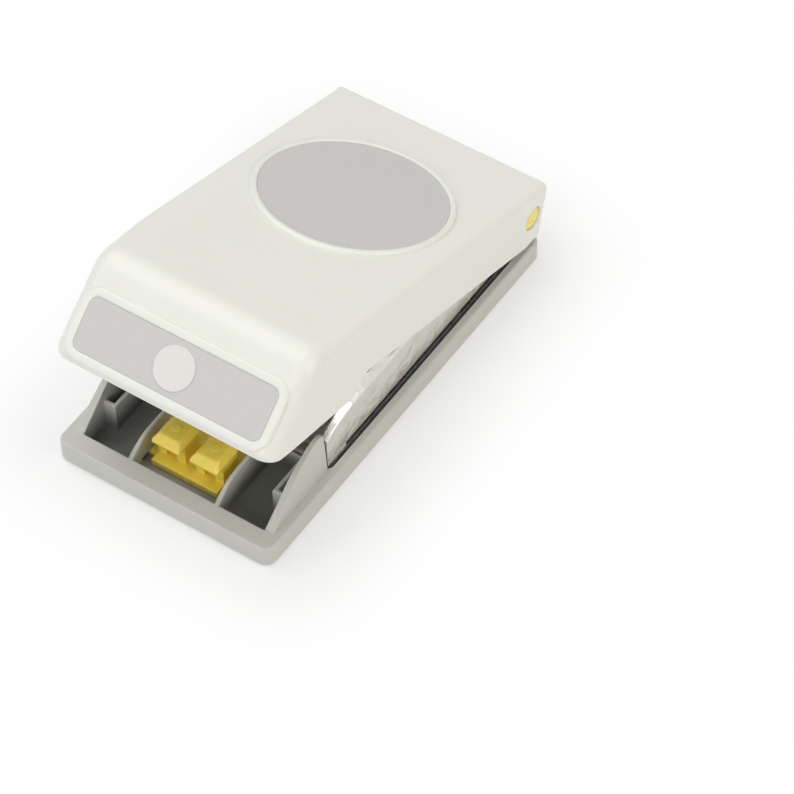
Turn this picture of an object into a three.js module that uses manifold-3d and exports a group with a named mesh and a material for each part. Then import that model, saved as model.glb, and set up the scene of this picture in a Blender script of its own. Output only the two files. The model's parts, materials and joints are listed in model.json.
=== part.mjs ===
// Hand-lever craft punch for round paper discs.
// Millimetres, +Z up, the viewer's end is -Y. The origin is the middle of the footprint on the table.
// The base and the cutter frame stand still, the lever turns on a pin at the back, the cutter slides
// down with it, and a small slide in the front bay locks the lever down.

import * as THREE from 'three';
import { mergeVertices } from 'three/addons/utils/BufferGeometryUtils.js';
import Module from 'manifold-3d';

const wasm = await Module();
wasm.setup();

// Fits and helpers
const seatGap = 0.3; // between pieces that are carried by each other
const runGap = 0.5; // between pieces that slide past each other
const boreGap = 0.2; // around a shaft in its hole
const overrun = 2; // how far a cut runs past the face that it opens
const weldDistance = 0.0001; // vertices nearer than this are one
const fineSides = 64;
const boreSides = 24;
const screwSides = 12;

// Die and paper slot
const discDiameter = 50.8;
const cutGap = 0.3; // cutter to die, all round
const dieSideWeb = 6.2;
const dieFrontWeb = 22.6;
const dieRearWeb = 15.6;
const dieThickness = 5;
const dieCorner = 2;
const slotHeight = 1.4;
const spacerLength = 8.4;

// Base tray
const footStand = 0.3; // the feet reach this far below the tray
const trayFloor = 2.9;
const bayFloor = 1.9;
const rimHeight = 7;
const rimWall = 2.3;
const trayGap = 0.6;
const frontRim = 5.7;
const bayLength = 24.1;
const bayWall = 1.5;
const trayCorner = 5;
const trayEdge = 0.8;
const dropGap = 1.6; // drop hole in the floor, wider than the die all round
const cheekWall = 2.9;
const cheekHeight = 14.2; // above the rim
const ribWall = 1.6;
const ribHeight = 4.7; // above the rim
const ribSpan = 26.4; // between the two ribs beside the lock
const pocketWidth = 3.9;
const pocketWall = 1.2;
const pocketFront = 9.3;
const pocketHeight = 4.3;
const footRadius = 4.5;
const footHeight = 1.4;
const footInset = 9;

// Cutter frame above the slot
const guideThickness = 4;
const guideGap = 0.3; // cutter to the hole that guides it
const sideWall = 2;
const sideHeight = 10.4; // above the guide plate
const sideNose = 3.8; // height of the side wall's front corner above the guide plate
const sideRamp = 15.4; // length of the slope up from that corner
const sideTail = 12; // from the pivot to where the side wall starts to drop
const sideHump = 1.2; // drop of the side wall's top at three quarters of its slope
const sideBelly = 2.7; // and rise above the corner at a quarter of it
const wellDepth = 2.6;

// Cutter and the plate that carries it
const cutterWall = 2.5;
const cutterHeight = 11.8;
const cutterTop = 2.5;
const cutterLift = 0.8; // edge above the slot at rest
const edgeBevel = 0.9;
const edgeShear = 1.4; // the edge is hollow across, so that it shears
const plateThickness = 3;
const plateCorner = 6;
const cupRise = 1;
const cupWall = 1.1;
const springRadius = 3.2;
const springWire = 0.8;
const springTurns = 4.5;
const springSteps = 8;
const springSides = 5;
const wellRadius = 4.4;
const wellWeb = 1.15; // between a spring well and the guide hole

// Pivot
const pivotInset = 2.4; // in front of the back end of the die
const pivotRise = 5.7; // above the guide plate
const pinRadius = 2;
const earRadius = 4.6;
const washerRadius = 4.2;
const washerThickness = 0.6;
const washerGap = 0.2;
const capRadius = 3.7;
const capThickness = 0.9;
const capShelf = 0.2;

// Lever
const restTilt = THREE.MathUtils.degToRad(17.44);
const travel = THREE.MathUtils.degToRad(12);
const leverSideWall = 2;
const leverTopWall = 2.4;
const leverFrontWall = 2.2;
const leverRearWall = 1.8;
const leverTop = 9.2; // top face above the pivot
const leverRear = 7.1; // back face behind the pivot
const rearLean = 1.1;
const rearNotch = 1.2; // the lower back corner is cut up by this much
const rearNotchLength = 8;
const skirtDepth = 9.6; // lower edge below the pivot, back part
const frontSkirtDepth = 16; // and front part
const lipDepth = 17.6;
const noseDepth = 15.3;
const noseSetback = 3.1; // tip of the nose behind the front of the base
const stepFromNose = 37;
const stepLength = 7.4;
const bendRadius = 10;
const frontLean = THREE.MathUtils.degToRad(31.4);
const edgeRound = 2;
const noseCorner = 5;
const tailCorner = 2;
const bossRadius = 3.4;

// Labels and their beads
const labelRadius = 26.1;
const labelThickness = 0.7;
const ringWidth = 1.7;
const ringRise = 0.9;
const labelSetback = 1.6; // label centre in front of the cutter's push line
const frontLabelLength = 59;
const frontLabelHeight = 15;
const frontLabelCorner = 2.5;
const frontLabelSide = 10; // from the nose up the front face to the middle of the label
const frontRing = 2.3;
const frontRise = 0.8;
const badgeRadius = 6;
const badgeThickness = 0.5;

// Lever arm and what presses the cutter
const armSteel = 1.6;
const armRise = 4; // underside of the web above the pivot
const armSkirt = 1.5; // flange edge below the pivot
const armEarRadius = 4.2;
const armNarrow = 14; // half width of the front part
const armShoulder = 70; // from the pivot to where the arm gets narrow
const armTaper = 8;
const hookWidth = 6;
const hookNeck = 5.8; // straight height of the hook above its foot
const hookClear = 1.15; // neck to the front wall's inner face
const hookShoulder = 2.1; // top of the hook's slope behind that face
const hookReach = 4.6;
const hookThickness = 1.8;
const barRadius = 5;
const barLength = 30;
const barSetback = 1.5;
const barScrewInset = 4; // from the ends of the bar
const armScrewSide = 9; // from the flanges
const armScrewInset = 7; // front screws behind the shoulder
const armScrewRear = 22;

// Lock slide
const lockPlate = 2.6;
const lockClear = 0.2; // under the slide
const keyWidth = 9.1;
const keySpace = 3.2;
const keyDepth = 9.8;
const keyHeight = 9.1; // underside of the key above the bottom of the slide
const keyThickness = 3.3;
const keyBevel = 2.3;
const keyOverhang = 2.8;
const keyLeg = 2.5;
const lockTravel = 3;
const tongueHeight = 1.4;
const tongueFront = 2.7; // front end of the side tongues behind the front of the slide

// Screws
const frameScrewRadius = 2;
const frameHeadRadius = 3.5;
const frameHeadHeight = 1.3;
const frameScrewSide = 11.6; // from the sides of the die
const dieScrewSide = 16.6;
const dieScrewInset = 7;
const dieScrewBite = 3.4;
const smallScrewRadius = 1.4;
const smallHeadRadius = 2.6;
const smallHeadHeight = 1.4;
const cutterScrewInset = 2.5; // from the outside of the cutter
const cutterScrewBite = 2;
const armScrewBite = 2.2;
const barScrewBite = 3.5;
const screwEnd = 0.4; // a blind hole is this much deeper than its screw

// Heights worked out from the sizes
const trayBottom = footStand;
const dieBottom = trayBottom + trayFloor;
const dieTop = dieBottom + dieThickness;
const rimTop = trayBottom + rimHeight;
const guideBottom = dieTop + slotHeight;
const guideTop = guideBottom + guideThickness;
const sideTop = guideTop + sideHeight;
const pivotZ = guideTop + pivotRise;
const cutterEdge = guideBottom + cutterLift;
const plateBottom = cutterEdge + cutterHeight;
const plateTop = plateBottom + plateThickness;
const cupTop = plateTop + cupRise;
const bayBottom = trayBottom + bayFloor;

// Places along the punch, from the front of the base
const dieRadius = discDiameter / 2;
const bayRear = frontRim + bayLength;
const dieFront = bayRear + bayWall + seatGap;
const stopLine = dieFront + spacerLength;
const dieCentre = stopLine + dieFrontWeb + dieRadius;
const dieRear = dieCentre + dieRadius + dieRearWeb;
const baseLength = dieRear + seatGap + rimWall;
const pivotY = dieRear - pivotInset;
const pushArm = pivotY - dieCentre;

// Half widths
const dieHalf = dieRadius + dieSideWeb;
const trayInside = dieHalf + trayGap;
const baseHalf = trayInside + rimWall;
const sideInside = dieHalf - sideWall;
const frameScrewX = dieHalf - frameScrewSide;
const dieScrewX = dieHalf - dieScrewSide;
const flangeOutside = sideInside - washerThickness - 2 * washerGap;
const flangeInside = flangeOutside - armSteel;
const armScrewX = flangeInside - armScrewSide;
const barScrewX = barLength / 2 - barScrewInset;
const cutterRadius = dieRadius - cutGap;
const cutterScrewHalf = (cutterRadius - cutterScrewInset) * Math.SQRT1_2;
const armScrewFront = armShoulder - armScrewInset;
const leverInside = trayInside + runGap;
const leverHalf = leverInside + leverSideWall;

// The whole stands centred on the origin
const tiltSin = Math.sin(restTilt);
const tiltCos = Math.cos(restTilt);
const overallLength = pivotY + (leverRear - rearLean) * tiltCos + leverTop * tiltSin;
const frontY = -overallLength / 2;

// The lever's front wall, seen from the pivot with the top face level
const noseReach = (pivotY - noseSetback - noseDepth * tiltSin) / tiltCos;
const frontCos = Math.cos(frontLean);
const frontSin = Math.sin(frontLean);

function frontWallAt(height) {
  return -noseReach + (height + noseDepth) * frontSin / frontCos + leverFrontWall / frontCos;
}

// Where the hooks' feet end when the lever is locked down, with their necks behind the front wall
const lockTilt = restTilt - travel;
const lockSin = Math.sin(lockTilt);
const lockCos = Math.cos(lockTilt);
const lockBottom = bayBottom + lockClear;
const keyUnder = lockBottom + keyHeight;
const hookTop = keyUnder - 2 * seatGap;
const hookFall = hookTop - pivotZ;
const hookBack = frontWallAt(hookFall * lockCos + hookNeck) + hookClear;
const hookFront = pivotY + (hookBack + hookReach + hookFall * lockSin)
  / (lockCos - lockSin * frontSin / frontCos);
const keyFront = hookFront + 2 * seatGap + boreGap;
const lockFront = hookFront + seatGap;
const lockBack = bayRear - runGap;

// Colours
function plastic(name, color, roughness) {
  return new THREE.MeshStandardMaterial({ name, color, roughness, metalness: 0 });
}

function metal(name, color, roughness) {
  return new THREE.MeshStandardMaterial({ name, color, roughness, metalness: 1 });
}

const leverPlastic = plastic('lever_plastic', 0xe4e3d9, 0.42);
const basePlastic = plastic('base_plastic', 0xb9b8b0, 0.5);
const labelGrey = plastic('label_grey', 0xc3c3c0, 0.55);
const badgeWhite = plastic('badge_white', 0xededea, 0.55);
const yellowPlastic = plastic('yellow_plastic', 0xe3cb55, 0.35);
const castMetal = metal('cast_metal', 0xc9c7c0, 0.22);
const toolSteel = metal('tool_steel', 0xb4b6b8, 0.3);
const armMetal = metal('arm_steel', 0xa9abad, 0.38);
const screwMetal = metal('screw_steel', 0xb9bbbd, 0.32);
const footRubber = plastic('foot_rubber', 0x4a4a48, 0.85);

// Shape helpers
const sides = [-1, 1];
const corners = [[-1, -1], [1, -1], [-1, 1], [1, 1]];
const alongX = new THREE.Matrix4().makeBasis(
  new THREE.Vector3(0, 1, 0),
  new THREE.Vector3(0, 0, 1),
  new THREE.Vector3(1, 0, 0),
);

function solid(geometry) {
  const bare = geometry.index ? geometry.toNonIndexed() : geometry.clone();
  bare.deleteAttribute('normal');
  bare.deleteAttribute('uv');
  const merged = mergeVertices(bare, weldDistance);
  return new wasm.Manifold(new wasm.Mesh({
    numProp: 3,
    vertProperties: new Float32Array(merged.attributes.position.array),
    triVerts: new Uint32Array(merged.index.array),
  }));
}

function joined(solids) {
  return solids.reduce((whole, next) => whole.add(next));
}

function cut(body, tools) {
  return tools.reduce((rest, tool) => rest.subtract(tool), body);
}

function geometryOf(body) {
  const mesh = body.getMesh();
  const geometry = new THREE.BufferGeometry();
  geometry.setAttribute('position', new THREE.BufferAttribute(new Float32Array(mesh.vertProperties), 3));
  geometry.setIndex(new THREE.BufferAttribute(new Uint32Array(mesh.triVerts), 1));
  return geometry;
}

function shapeOf(points) {
  return new THREE.Shape(points.map(([a, b]) => new THREE.Vector2(a, b)));
}

// A point list for an arc, from one angle to another about a centre
function arc(centreA, centreB, radius, fromDegrees, toDegrees, steps) {
  return Array.from({ length: steps + 1 }, (_, i) => {
    const angle = THREE.MathUtils.degToRad(fromDegrees + (toDegrees - fromDegrees) * i / steps);
    return [centreA + radius * Math.cos(angle), centreB + radius * Math.sin(angle)];
  });
}

// Outline points that stand upright, in y and z, pushed out along x between two limits
function acrossX(points, x0, x1, round = 0) {
  const low = Math.min(x0, x1);
  const high = Math.max(x0, x1);
  const geometry = new THREE.ExtrudeGeometry(shapeOf(points), {
    depth: high - low - 2 * round,
    bevelEnabled: round > 0,
    bevelThickness: round,
    bevelSize: round,
    bevelOffset: -round,
    bevelSegments: 3,
    steps: 1,
  });
  geometry.translate(0, 0, low + round);
  geometry.applyMatrix4(alongX);
  return solid(geometry);
}

// Outline points that lie flat, in x and y, pushed up between two heights
function upZ(points, z0, z1, round = 0) {
  const geometry = new THREE.ExtrudeGeometry(shapeOf(points), {
    depth: z1 - z0 - 2 * round,
    bevelEnabled: round > 0,
    bevelThickness: round,
    bevelSize: round,
    bevelOffset: -round,
    bevelSegments: 2,
    steps: 1,
  });
  geometry.translate(0, 0, z0 + round);
  return solid(geometry);
}

function box(x0, x1, y0, y1, z0, z1) {
  const geometry = new THREE.BoxGeometry(Math.abs(x1 - x0), Math.abs(y1 - y0), Math.abs(z1 - z0));
  geometry.translate((x0 + x1) / 2, (y0 + y1) / 2, (z0 + z1) / 2);
  return solid(geometry);
}

function rodZ(x, y, radius, z0, z1, count) {
  const geometry = new THREE.CylinderGeometry(radius, radius, z1 - z0, count);
  geometry.rotateX(Math.PI / 2);
  geometry.translate(x, y, (z0 + z1) / 2);
  return solid(geometry);
}

function rodX(y, z, radius, x0, x1, count) {
  const geometry = new THREE.CylinderGeometry(radius, radius, Math.abs(x1 - x0), count);
  geometry.rotateZ(Math.PI / 2);
  geometry.translate((x0 + x1) / 2, y, z);
  return solid(geometry);
}

function roundedRectangle(x0, x1, y0, y1, radius, steps = 4) {
  return [
    ...arc(x1 - radius, y1 - radius, radius, 0, 90, steps),
    ...arc(x0 + radius, y1 - radius, radius, 90, 180, steps),
    ...arc(x0 + radius, y0 + radius, radius, 180, 270, steps),
    ...arc(x1 - radius, y0 + radius, radius, 270, 360, steps),
  ];
}

// A screw that stands on its head, or hangs from it when it points down
function screw(x, y, headFace, shaftEnd, shaftRadius, headRadius, headHeight) {
  const up = shaftEnd > headFace ? 1 : -1;
  const head = up > 0
    ? rodZ(x, y, headRadius, headFace - headHeight, headFace, screwSides)
    : rodZ(x, y, headRadius, headFace, headFace + headHeight, screwSides);
  const low = Math.min(headFace - up * headHeight / 2, shaftEnd);
  const high = Math.max(headFace - up * headHeight / 2, shaftEnd);
  const slotBottom = headFace - up * headHeight * 1.5;
  const slotTop = headFace - up * headHeight / 2;
  const slot = box(
    x - shaftRadius / 4, x + shaftRadius / 4, y - headRadius / 2, y + headRadius / 2, slotBottom, slotTop,
  );
  return joined([head, rodZ(x, y, shaftRadius, low, high, screwSides)]).subtract(slot);
}

const punch = new THREE.Group();
const still = new THREE.Group();
still.position.y = frontY;
punch.add(still);
const lever = new THREE.Group();
lever.position.set(0, frontY + pivotY, pivotZ);
lever.rotation.x = -restTilt;
punch.add(lever);

function place(group, name, body, material) {
  const mesh = new THREE.Mesh(geometryOf(body), material.clone());
  mesh.name = name;
  group.add(mesh);
}

// Springs and screws of the cutter stand at these places
const springReach = dieRadius + guideGap + wellWeb + wellRadius;
const springX = flangeInside - 2 * runGap - cupWall - wellRadius;
const springY = Math.sqrt(springReach ** 2 - springX ** 2);

// Base tray with its cheeks, ribs and pockets
const keyOuter = keySpace / 2 + keyWidth;
const ribInside = ribSpan / 2;
const ribOutside = ribInside + ribWall;
const cheekInside = trayInside - cheekWall;
const frameScrewY = dieFront + spacerLength / 2;
const headSeat = trayBottom + frameHeadHeight + seatGap;
const tongueTop = lockBottom + tongueHeight;
const slotFront = lockFront + tongueFront - lockTravel - seatGap;
const dieScrewY = dieRear - dieScrewInset;

const cheekShares = [[0, 0], [0.21, 0.3], [0.45, 0.67], [0.7, 0.9], [0.88, 1], [1, 1]];
const ribShares = [[0, 0], [0.1, 0.42], [0.25, 0.85], [0.45, 1], [1, 1]];

// A wall that rises from the front rim towards the back, in the given shares of its length and height
function risingWall(end, height, shares) {
  const start = frontRim - seatGap;
  const foot = bayBottom - seatGap;
  const top = shares.map(([a, b]) => [start + (end - start) * a, rimTop + height * b]);
  return [[start, foot], [end, foot], ...top.reverse()];
}

function makeTray() {
  const block = upZ(
    roundedRectangle(-baseHalf, baseHalf, 0, baseLength, trayCorner, 5), trayBottom, rimTop, trayEdge,
  );
  const cheekStart = frontRim;
  const bay = box(-cheekInside, cheekInside, cheekStart, bayRear, bayBottom, rimTop + overrun);
  const pocket = upZ(
    roundedRectangle(-trayInside, trayInside, dieFront - seatGap, dieRear + seatGap, dieCorner, 3),
    dieBottom, rimTop + overrun,
  );
  const drop = rodZ(0, dieCentre, dieRadius + dropGap, -overrun, dieBottom + overrun, fineSides);
  const feetPockets = corners.map(([sx, sy]) => footPlace(sx, sy)).map(([x, y]) =>
    rodZ(x, y, footRadius + seatGap, -overrun, footHeight, boreSides));
  const screwBores = sides.flatMap((side) => [
    rodZ(side * frameScrewX, frameScrewY, frameScrewRadius + boreGap,
      -overrun, dieBottom + overrun, screwSides),
    rodZ(side * frameScrewX, frameScrewY, frameHeadRadius + seatGap, -overrun, headSeat, screwSides),
    rodZ(side * dieScrewX, dieScrewY, frameScrewRadius + boreGap, -overrun, dieBottom + overrun, screwSides),
    rodZ(side * dieScrewX, dieScrewY, frameHeadRadius + seatGap, -overrun, headSeat, screwSides),
  ]);
  const tray = cut(block, [bay, pocket, drop, ...feetPockets, ...screwBores]);
  const tongueSlot = box(
    -baseHalf, baseHalf, slotFront, lockBack + seatGap, -overrun, tongueTop + lockClear,
  );
  const added = sides.flatMap((side) => [
    acrossX(risingWall(dieFront - seatGap, cheekHeight, cheekShares), side * cheekInside, side * trayInside),
    acrossX(risingWall(bayRear + bayWall / 2, ribHeight, ribShares), side * ribInside, side * ribOutside)
      .subtract(tongueSlot),
    box(side * (cheekInside - pocketWidth), side * (cheekInside + seatGap),
      frontRim + pocketFront, frontRim + pocketFront + pocketWall,
      bayBottom - seatGap, rimTop + pocketHeight),
    box(side * (cheekInside - pocketWidth), side * (cheekInside - pocketWidth + pocketWall),
      frontRim + pocketFront, bayRear + seatGap, bayBottom - seatGap, rimTop + pocketHeight),
  ]);
  return joined([tray, ...added]);
}

function footPlace(sx, sy) {
  const y = sy < 0 ? footInset : baseLength - footInset;
  return [sx * (baseHalf - footInset), y];
}

place(still, 'base_tray', makeTray(), basePlastic);

corners.forEach(([sx, sy], index) => {
  const [x, y] = footPlace(sx, sy);
  place(still, `foot_${index + 1}`, rodZ(x, y, footRadius, 0, footHeight, boreSides), footRubber);
});

// Die, spacer and cutter frame, with the screws that hold them together from below
const frameScrewTop = guideTop - screwEnd * 2;

function makeDie() {
  const block = upZ(roundedRectangle(-dieHalf, dieHalf, dieFront, dieRear, dieCorner), dieBottom, dieTop);
  const bores = sides.flatMap((side) => [
    rodZ(side * frameScrewX, frameScrewY, frameScrewRadius + boreGap,
      dieBottom - overrun, dieTop + overrun, screwSides),
    rodZ(side * dieScrewX, dieScrewY, frameScrewRadius + boreGap,
      dieBottom - overrun, dieBottom + dieScrewBite + screwEnd, screwSides),
  ]);
  const hole = rodZ(0, dieCentre, dieRadius, dieBottom - overrun, dieTop + overrun, fineSides);
  return cut(block, [hole, ...bores]);
}

function makeSpacer() {
  const block = box(-dieHalf, dieHalf, dieFront, stopLine, dieTop, guideBottom);
  return cut(block, sides.map((side) =>
    rodZ(side * frameScrewX, frameScrewY, frameScrewRadius + boreGap,
      dieTop - overrun, guideBottom + overrun, screwSides)));
}

const sideShares = [0.25, 0.7];

function sideOutline() {
  const rear = guideRear;
  const tail = pivotY - sideTail;
  return [
    [dieFront, guideBottom],
    [rear, guideBottom],
    [rear, guideTop],
    ...arc(pivotY, pivotZ, earRadius, -40, 90, 10),
    [tail, sideTop],
    [dieFront + sideRamp, sideTop],
    [dieFront + sideRamp * sideShares[1], sideTop - sideHump],
    [dieFront + sideRamp * sideShares[0], guideTop + sideNose + sideBelly],
    [dieFront, guideTop + sideNose],
  ];
}

// The back end of the guide is the stop for the raised lever's back wall
const wallInside = leverRear - leverRearWall;
const guideRear = pivotY + wallInside * tiltCos - (pivotZ - guideBottom) * tiltSin / tiltCos
  + wallInside * tiltSin * tiltSin / tiltCos - 2 * seatGap;

function makeHousing() {
  const guide = box(-dieHalf, dieHalf, dieFront, guideRear, guideBottom, guideTop);
  const walls = sides.map((side) => acrossX(sideOutline(), side * sideInside, side * dieHalf));
  const hole = rodZ(0, dieCentre, cutterRadius + guideGap,
    guideBottom - overrun, guideTop + overrun, fineSides);
  const wells = corners.map(([sx, sy]) =>
    rodZ(sx * springX, dieCentre + sy * springY, wellRadius,
      guideTop - wellDepth, guideTop + overrun, screwSides));
  const bores = sides.map((side) =>
    rodZ(side * frameScrewX, frameScrewY, frameScrewRadius + boreGap,
      guideBottom - overrun, frameScrewTop + screwEnd, screwSides));
  const pinBore = rodX(pivotY, pivotZ, pinRadius + boreGap, -baseHalf, baseHalf, boreSides);
  return cut(joined([guide, ...walls]), [hole, ...wells, ...bores, pinBore]);
}

place(still, 'die_plate', makeDie(), toolSteel);
place(still, 'throat_spacer', makeSpacer(), castMetal);
place(still, 'guide_housing', makeHousing(), castMetal);

sides.forEach((side) => {
  const word = side < 0 ? 'left' : 'right';
  place(still, `frame_screw_${word}`, screw(side * frameScrewX, frameScrewY, headSeat,
    frameScrewTop, frameScrewRadius, frameHeadRadius, frameHeadHeight), screwMetal);
  place(still, `die_screw_${word}`, screw(side * dieScrewX, dieScrewY, headSeat,
    dieBottom + dieScrewBite, frameScrewRadius, frameHeadRadius, frameHeadHeight), screwMetal);
});

// Cutter, its plate, screws and springs
function makeCutter() {
  const inside = cutterRadius - cutterWall;
  const profile = [
    [0, plateBottom - cutterTop],
    [inside, plateBottom - cutterTop],
    [inside, cutterEdge + 2 * edgeBevel],
    [cutterRadius - edgeBevel, cutterEdge],
    [cutterRadius, cutterEdge],
    [cutterRadius, plateBottom],
    [0, plateBottom],
  ].map(([radius, height]) => new THREE.Vector2(radius, height));
  const geometry = new THREE.LatheGeometry(profile, fineSides);
  geometry.rotateX(Math.PI / 2);
  geometry.translate(0, dieCentre, 0);
  const cup = solid(geometry);
  const shear = acrossX([
    [dieCentre - cutterRadius, cutterEdge],
    [dieCentre + cutterRadius, cutterEdge],
    [dieCentre, cutterEdge + edgeShear],
  ], -dieRadius - overrun, dieRadius + overrun);
  const bores = corners.map(([sx, sy]) => rodZ(sx * cutterScrewHalf, dieCentre + sy * cutterScrewHalf,
    smallScrewRadius + boreGap, plateBottom - cutterTop - overrun, plateBottom + overrun, screwSides));
  return cut(cup, [shear, ...bores]);
}

function makePlate() {
  const halfX = springX + wellRadius + cupWall;
  const halfY = springY + wellRadius + cupWall;
  const slab = upZ(roundedRectangle(-halfX, halfX, dieCentre - halfY, dieCentre + halfY, plateCorner),
    plateBottom, plateTop);
  const cups = corners.map(([sx, sy]) => rodZ(sx * springX, dieCentre + sy * springY,
    wellRadius + cupWall, plateBottom, cupTop, screwSides));
  const wells = corners.map(([sx, sy]) => rodZ(sx * springX, dieCentre + sy * springY,
    wellRadius, plateBottom - overrun, cupTop - cupWall, screwSides));
  const bores = corners.map(([sx, sy]) => rodZ(sx * cutterScrewHalf, dieCentre + sy * cutterScrewHalf,
    smallScrewRadius + boreGap, plateBottom - overrun, plateTop + overrun, screwSides));
  return cut(joined([slab, ...cups]), [...wells, ...bores]);
}

class SpringCurve extends THREE.Curve {
  constructor(x, y, z0, z1) {
    super();
    this.foot = new THREE.Vector3(x, y, z0);
    this.rise = z1 - z0;
  }

  getPoint(share, target = new THREE.Vector3()) {
    const angle = share * springTurns * 2 * Math.PI;
    return target.set(
      this.foot.x + springRadius * Math.cos(angle),
      this.foot.y + springRadius * Math.sin(angle),
      this.foot.z + this.rise * share,
    );
  }
}

const springLow = guideTop - wellDepth + seatGap + springWire / 2;
const springHigh = cupTop - cupWall - seatGap - springWire / 2;

function makeSpring(x, y) {
  const wire = springWire / 2;
  const section = shapeOf(arc(0, 0, wire, 0, 360 - 360 / springSides, springSides - 1));
  const geometry = new THREE.ExtrudeGeometry(section, {
    steps: springSteps * springTurns,
    extrudePath: new SpringCurve(x, y, springLow, springHigh),
    bevelEnabled: false,
  });
  return solid(geometry);
}

place(still, 'cutter', makeCutter(), toolSteel);
place(still, 'pressure_plate', makePlate(), armMetal);
corners.forEach(([sx, sy], index) => {
  place(still, `cutter_screw_${index + 1}`, screw(sx * cutterScrewHalf, dieCentre + sy * cutterScrewHalf,
    plateTop, plateBottom - cutterScrewBite, smallScrewRadius, smallHeadRadius, smallHeadHeight), screwMetal);
  place(still, `cutter_spring_${index + 1}`, makeSpring(sx * springX, dieCentre + sy * springY), screwMetal);
});

// Least gap of a spring to itself, measured between points that lie half a turn or more apart on the wire
function leastGap() {
  const count = springSteps * springTurns;
  const points = new SpringCurve(0, 0, springLow, springHigh).getPoints(count);
  const gaps = points.flatMap((point, i) =>
    points.slice(i + springSteps / 2).map((other) => point.distanceTo(other) - springWire));
  return Math.min(...gaps);
}

console.log(`least gap of a spring to itself ${leastGap().toFixed(2)} mm`);

// Pin and washers
const pinHalf = leverHalf - capShelf - capThickness - seatGap;
place(still, 'pivot_pin', rodX(pivotY, pivotZ, pinRadius, -pinHalf, pinHalf, boreSides), screwMetal);
sides.forEach((side) => {
  const word = side < 0 ? 'left' : 'right';
  const inner = side * (flangeOutside + washerGap);
  const outer = side * (sideInside - washerGap);
  const ring = rodX(pivotY, pivotZ, washerRadius, inner, outer, boreSides)
    .subtract(rodX(pivotY, pivotZ, pinRadius + boreGap, -baseHalf, baseHalf, boreSides));
  place(still, `pivot_washer_${word}`, ring, screwMetal);
});

// Lever shell: its side view is drawn with the pivot at zero and the top face level
// A point on the sloped front face, counted up from the nose, and pushed in from the face
function onFront(up, inward) {
  return [
    -noseReach + up * frontSin + inward * frontCos,
    -noseDepth + up * frontCos - inward * frontSin,
  ];
}

// Top line, bend and front face of the side view, drawn in by a wall
function bendOutline(topWall, frontWall, radius) {
  const top = leverTop - topWall;
  const cornerUp = (top + noseDepth + frontWall * frontSin) / frontCos;
  const [cornerY] = onFront(cornerUp, frontWall);
  const turn = Math.PI / 2 - frontLean;
  const tangent = radius * Math.tan(turn / 2);
  const startDegrees = 90;
  const endDegrees = 90 + THREE.MathUtils.radToDeg(turn);
  return arc(cornerY + tangent, top - radius, radius, startDegrees, endDegrees, 6);
}

function leverProfile() {
  const nose = onFront(0, 0);
  const low = -lipDepth - lipDepth / 4;
  return [
    [leverRear, low],
    [leverRear - rearLean, leverTop],
    ...bendOutline(0, 0, bendRadius),
    nose,
    [nose[0] + (lipDepth - noseDepth) / 3, -(lipDepth + noseDepth) / 2],
    [nose[0] + (lipDepth - noseDepth) / 2, low],
  ];
}

function hollowProfile() {
  const low = -2 * lipDepth;
  const nose = onFront(0, leverFrontWall);
  return [
    [leverRear - leverRearWall, low],
    [leverRear - leverRearWall - rearLean / 2, leverTop - leverTopWall],
    ...bendOutline(leverTopWall, leverFrontWall, bendRadius - leverTopWall),
    nose,
    [nose[0], low],
  ];
}

const stepShares = [[0.6, 0.1], [0.3, 0.45]];

function underOutline() {
  const step = -noseReach + stepFromNose;
  const low = -2 * lipDepth;
  const drop = frontSkirtDepth - skirtDepth;
  return [
    [-noseReach - overrun, low],
    [leverRear + overrun, low],
    [leverRear + overrun, -skirtDepth + rearNotch],
    [leverRear - rearNotch, -skirtDepth + rearNotch],
    [leverRear - rearNotchLength, -skirtDepth],
    [step + stepLength, -skirtDepth],
    ...stepShares.map(([a, b]) => [step + stepLength * a, -skirtDepth - drop * b]),
    [step, -frontSkirtDepth],
    [-noseReach + noseCorner, -lipDepth + (lipDepth - frontSkirtDepth) / 4],
    [-noseReach, -lipDepth],
    [-noseReach - overrun, -lipDepth],
  ];
}

function planOutline() {
  const back = leverRear;
  const front = -noseReach;
  return [
    ...arc(leverHalf - tailCorner, back - tailCorner, tailCorner, 0, 90, 3),
    ...arc(-leverHalf + tailCorner, back - tailCorner, tailCorner, 90, 180, 3),
    ...arc(-leverHalf + noseCorner, front + noseCorner, noseCorner, 180, 270, 5),
    ...arc(leverHalf - noseCorner, front + noseCorner, noseCorner, 270, 360, 5),
  ];
}

const webTop = armRise + armSteel;
const pushY = -(pushArm * tiltCos + (plateTop + seatGap + barRadius - pivotZ) * tiltSin);
const pushZ = -pushArm * tiltSin + (plateTop + seatGap + barRadius - pivotZ) * tiltCos;
const labelY = pushY - labelSetback + barSetback;
const armScrewPlaces = [
  [-armScrewX, -armScrewRear],
  [armScrewX, -armScrewRear],
  [-armScrewX, -armScrewFront],
  [armScrewX, -armScrewFront],
];

// Pieces on the front face are drawn flat at the origin, then leaned onto the face
const frontBasis = new THREE.Matrix4().makeBasis(
  new THREE.Vector3(1, 0, 0),
  new THREE.Vector3(0, frontSin, frontCos),
  new THREE.Vector3(0, -frontCos, frontSin),
);

function leaned(geometry, up, outward) {
  const [y, z] = onFront(up, -outward);
  geometry.applyMatrix4(frontBasis);
  geometry.translate(0, y, z);
  return solid(geometry);
}

function frontPad(halfLength, halfHeight, corner, out0, out1) {
  const outline = roundedRectangle(-halfLength, halfLength, -halfHeight, halfHeight, corner);
  const geometry = new THREE.ExtrudeGeometry(shapeOf(outline), {
    depth: out1 - out0, bevelEnabled: false, steps: 1,
  });
  return leaned(geometry, frontLabelSide, out0);
}

const labelHalfLength = frontLabelLength / 2;
const labelHalfHeight = frontLabelHeight / 2;

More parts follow.
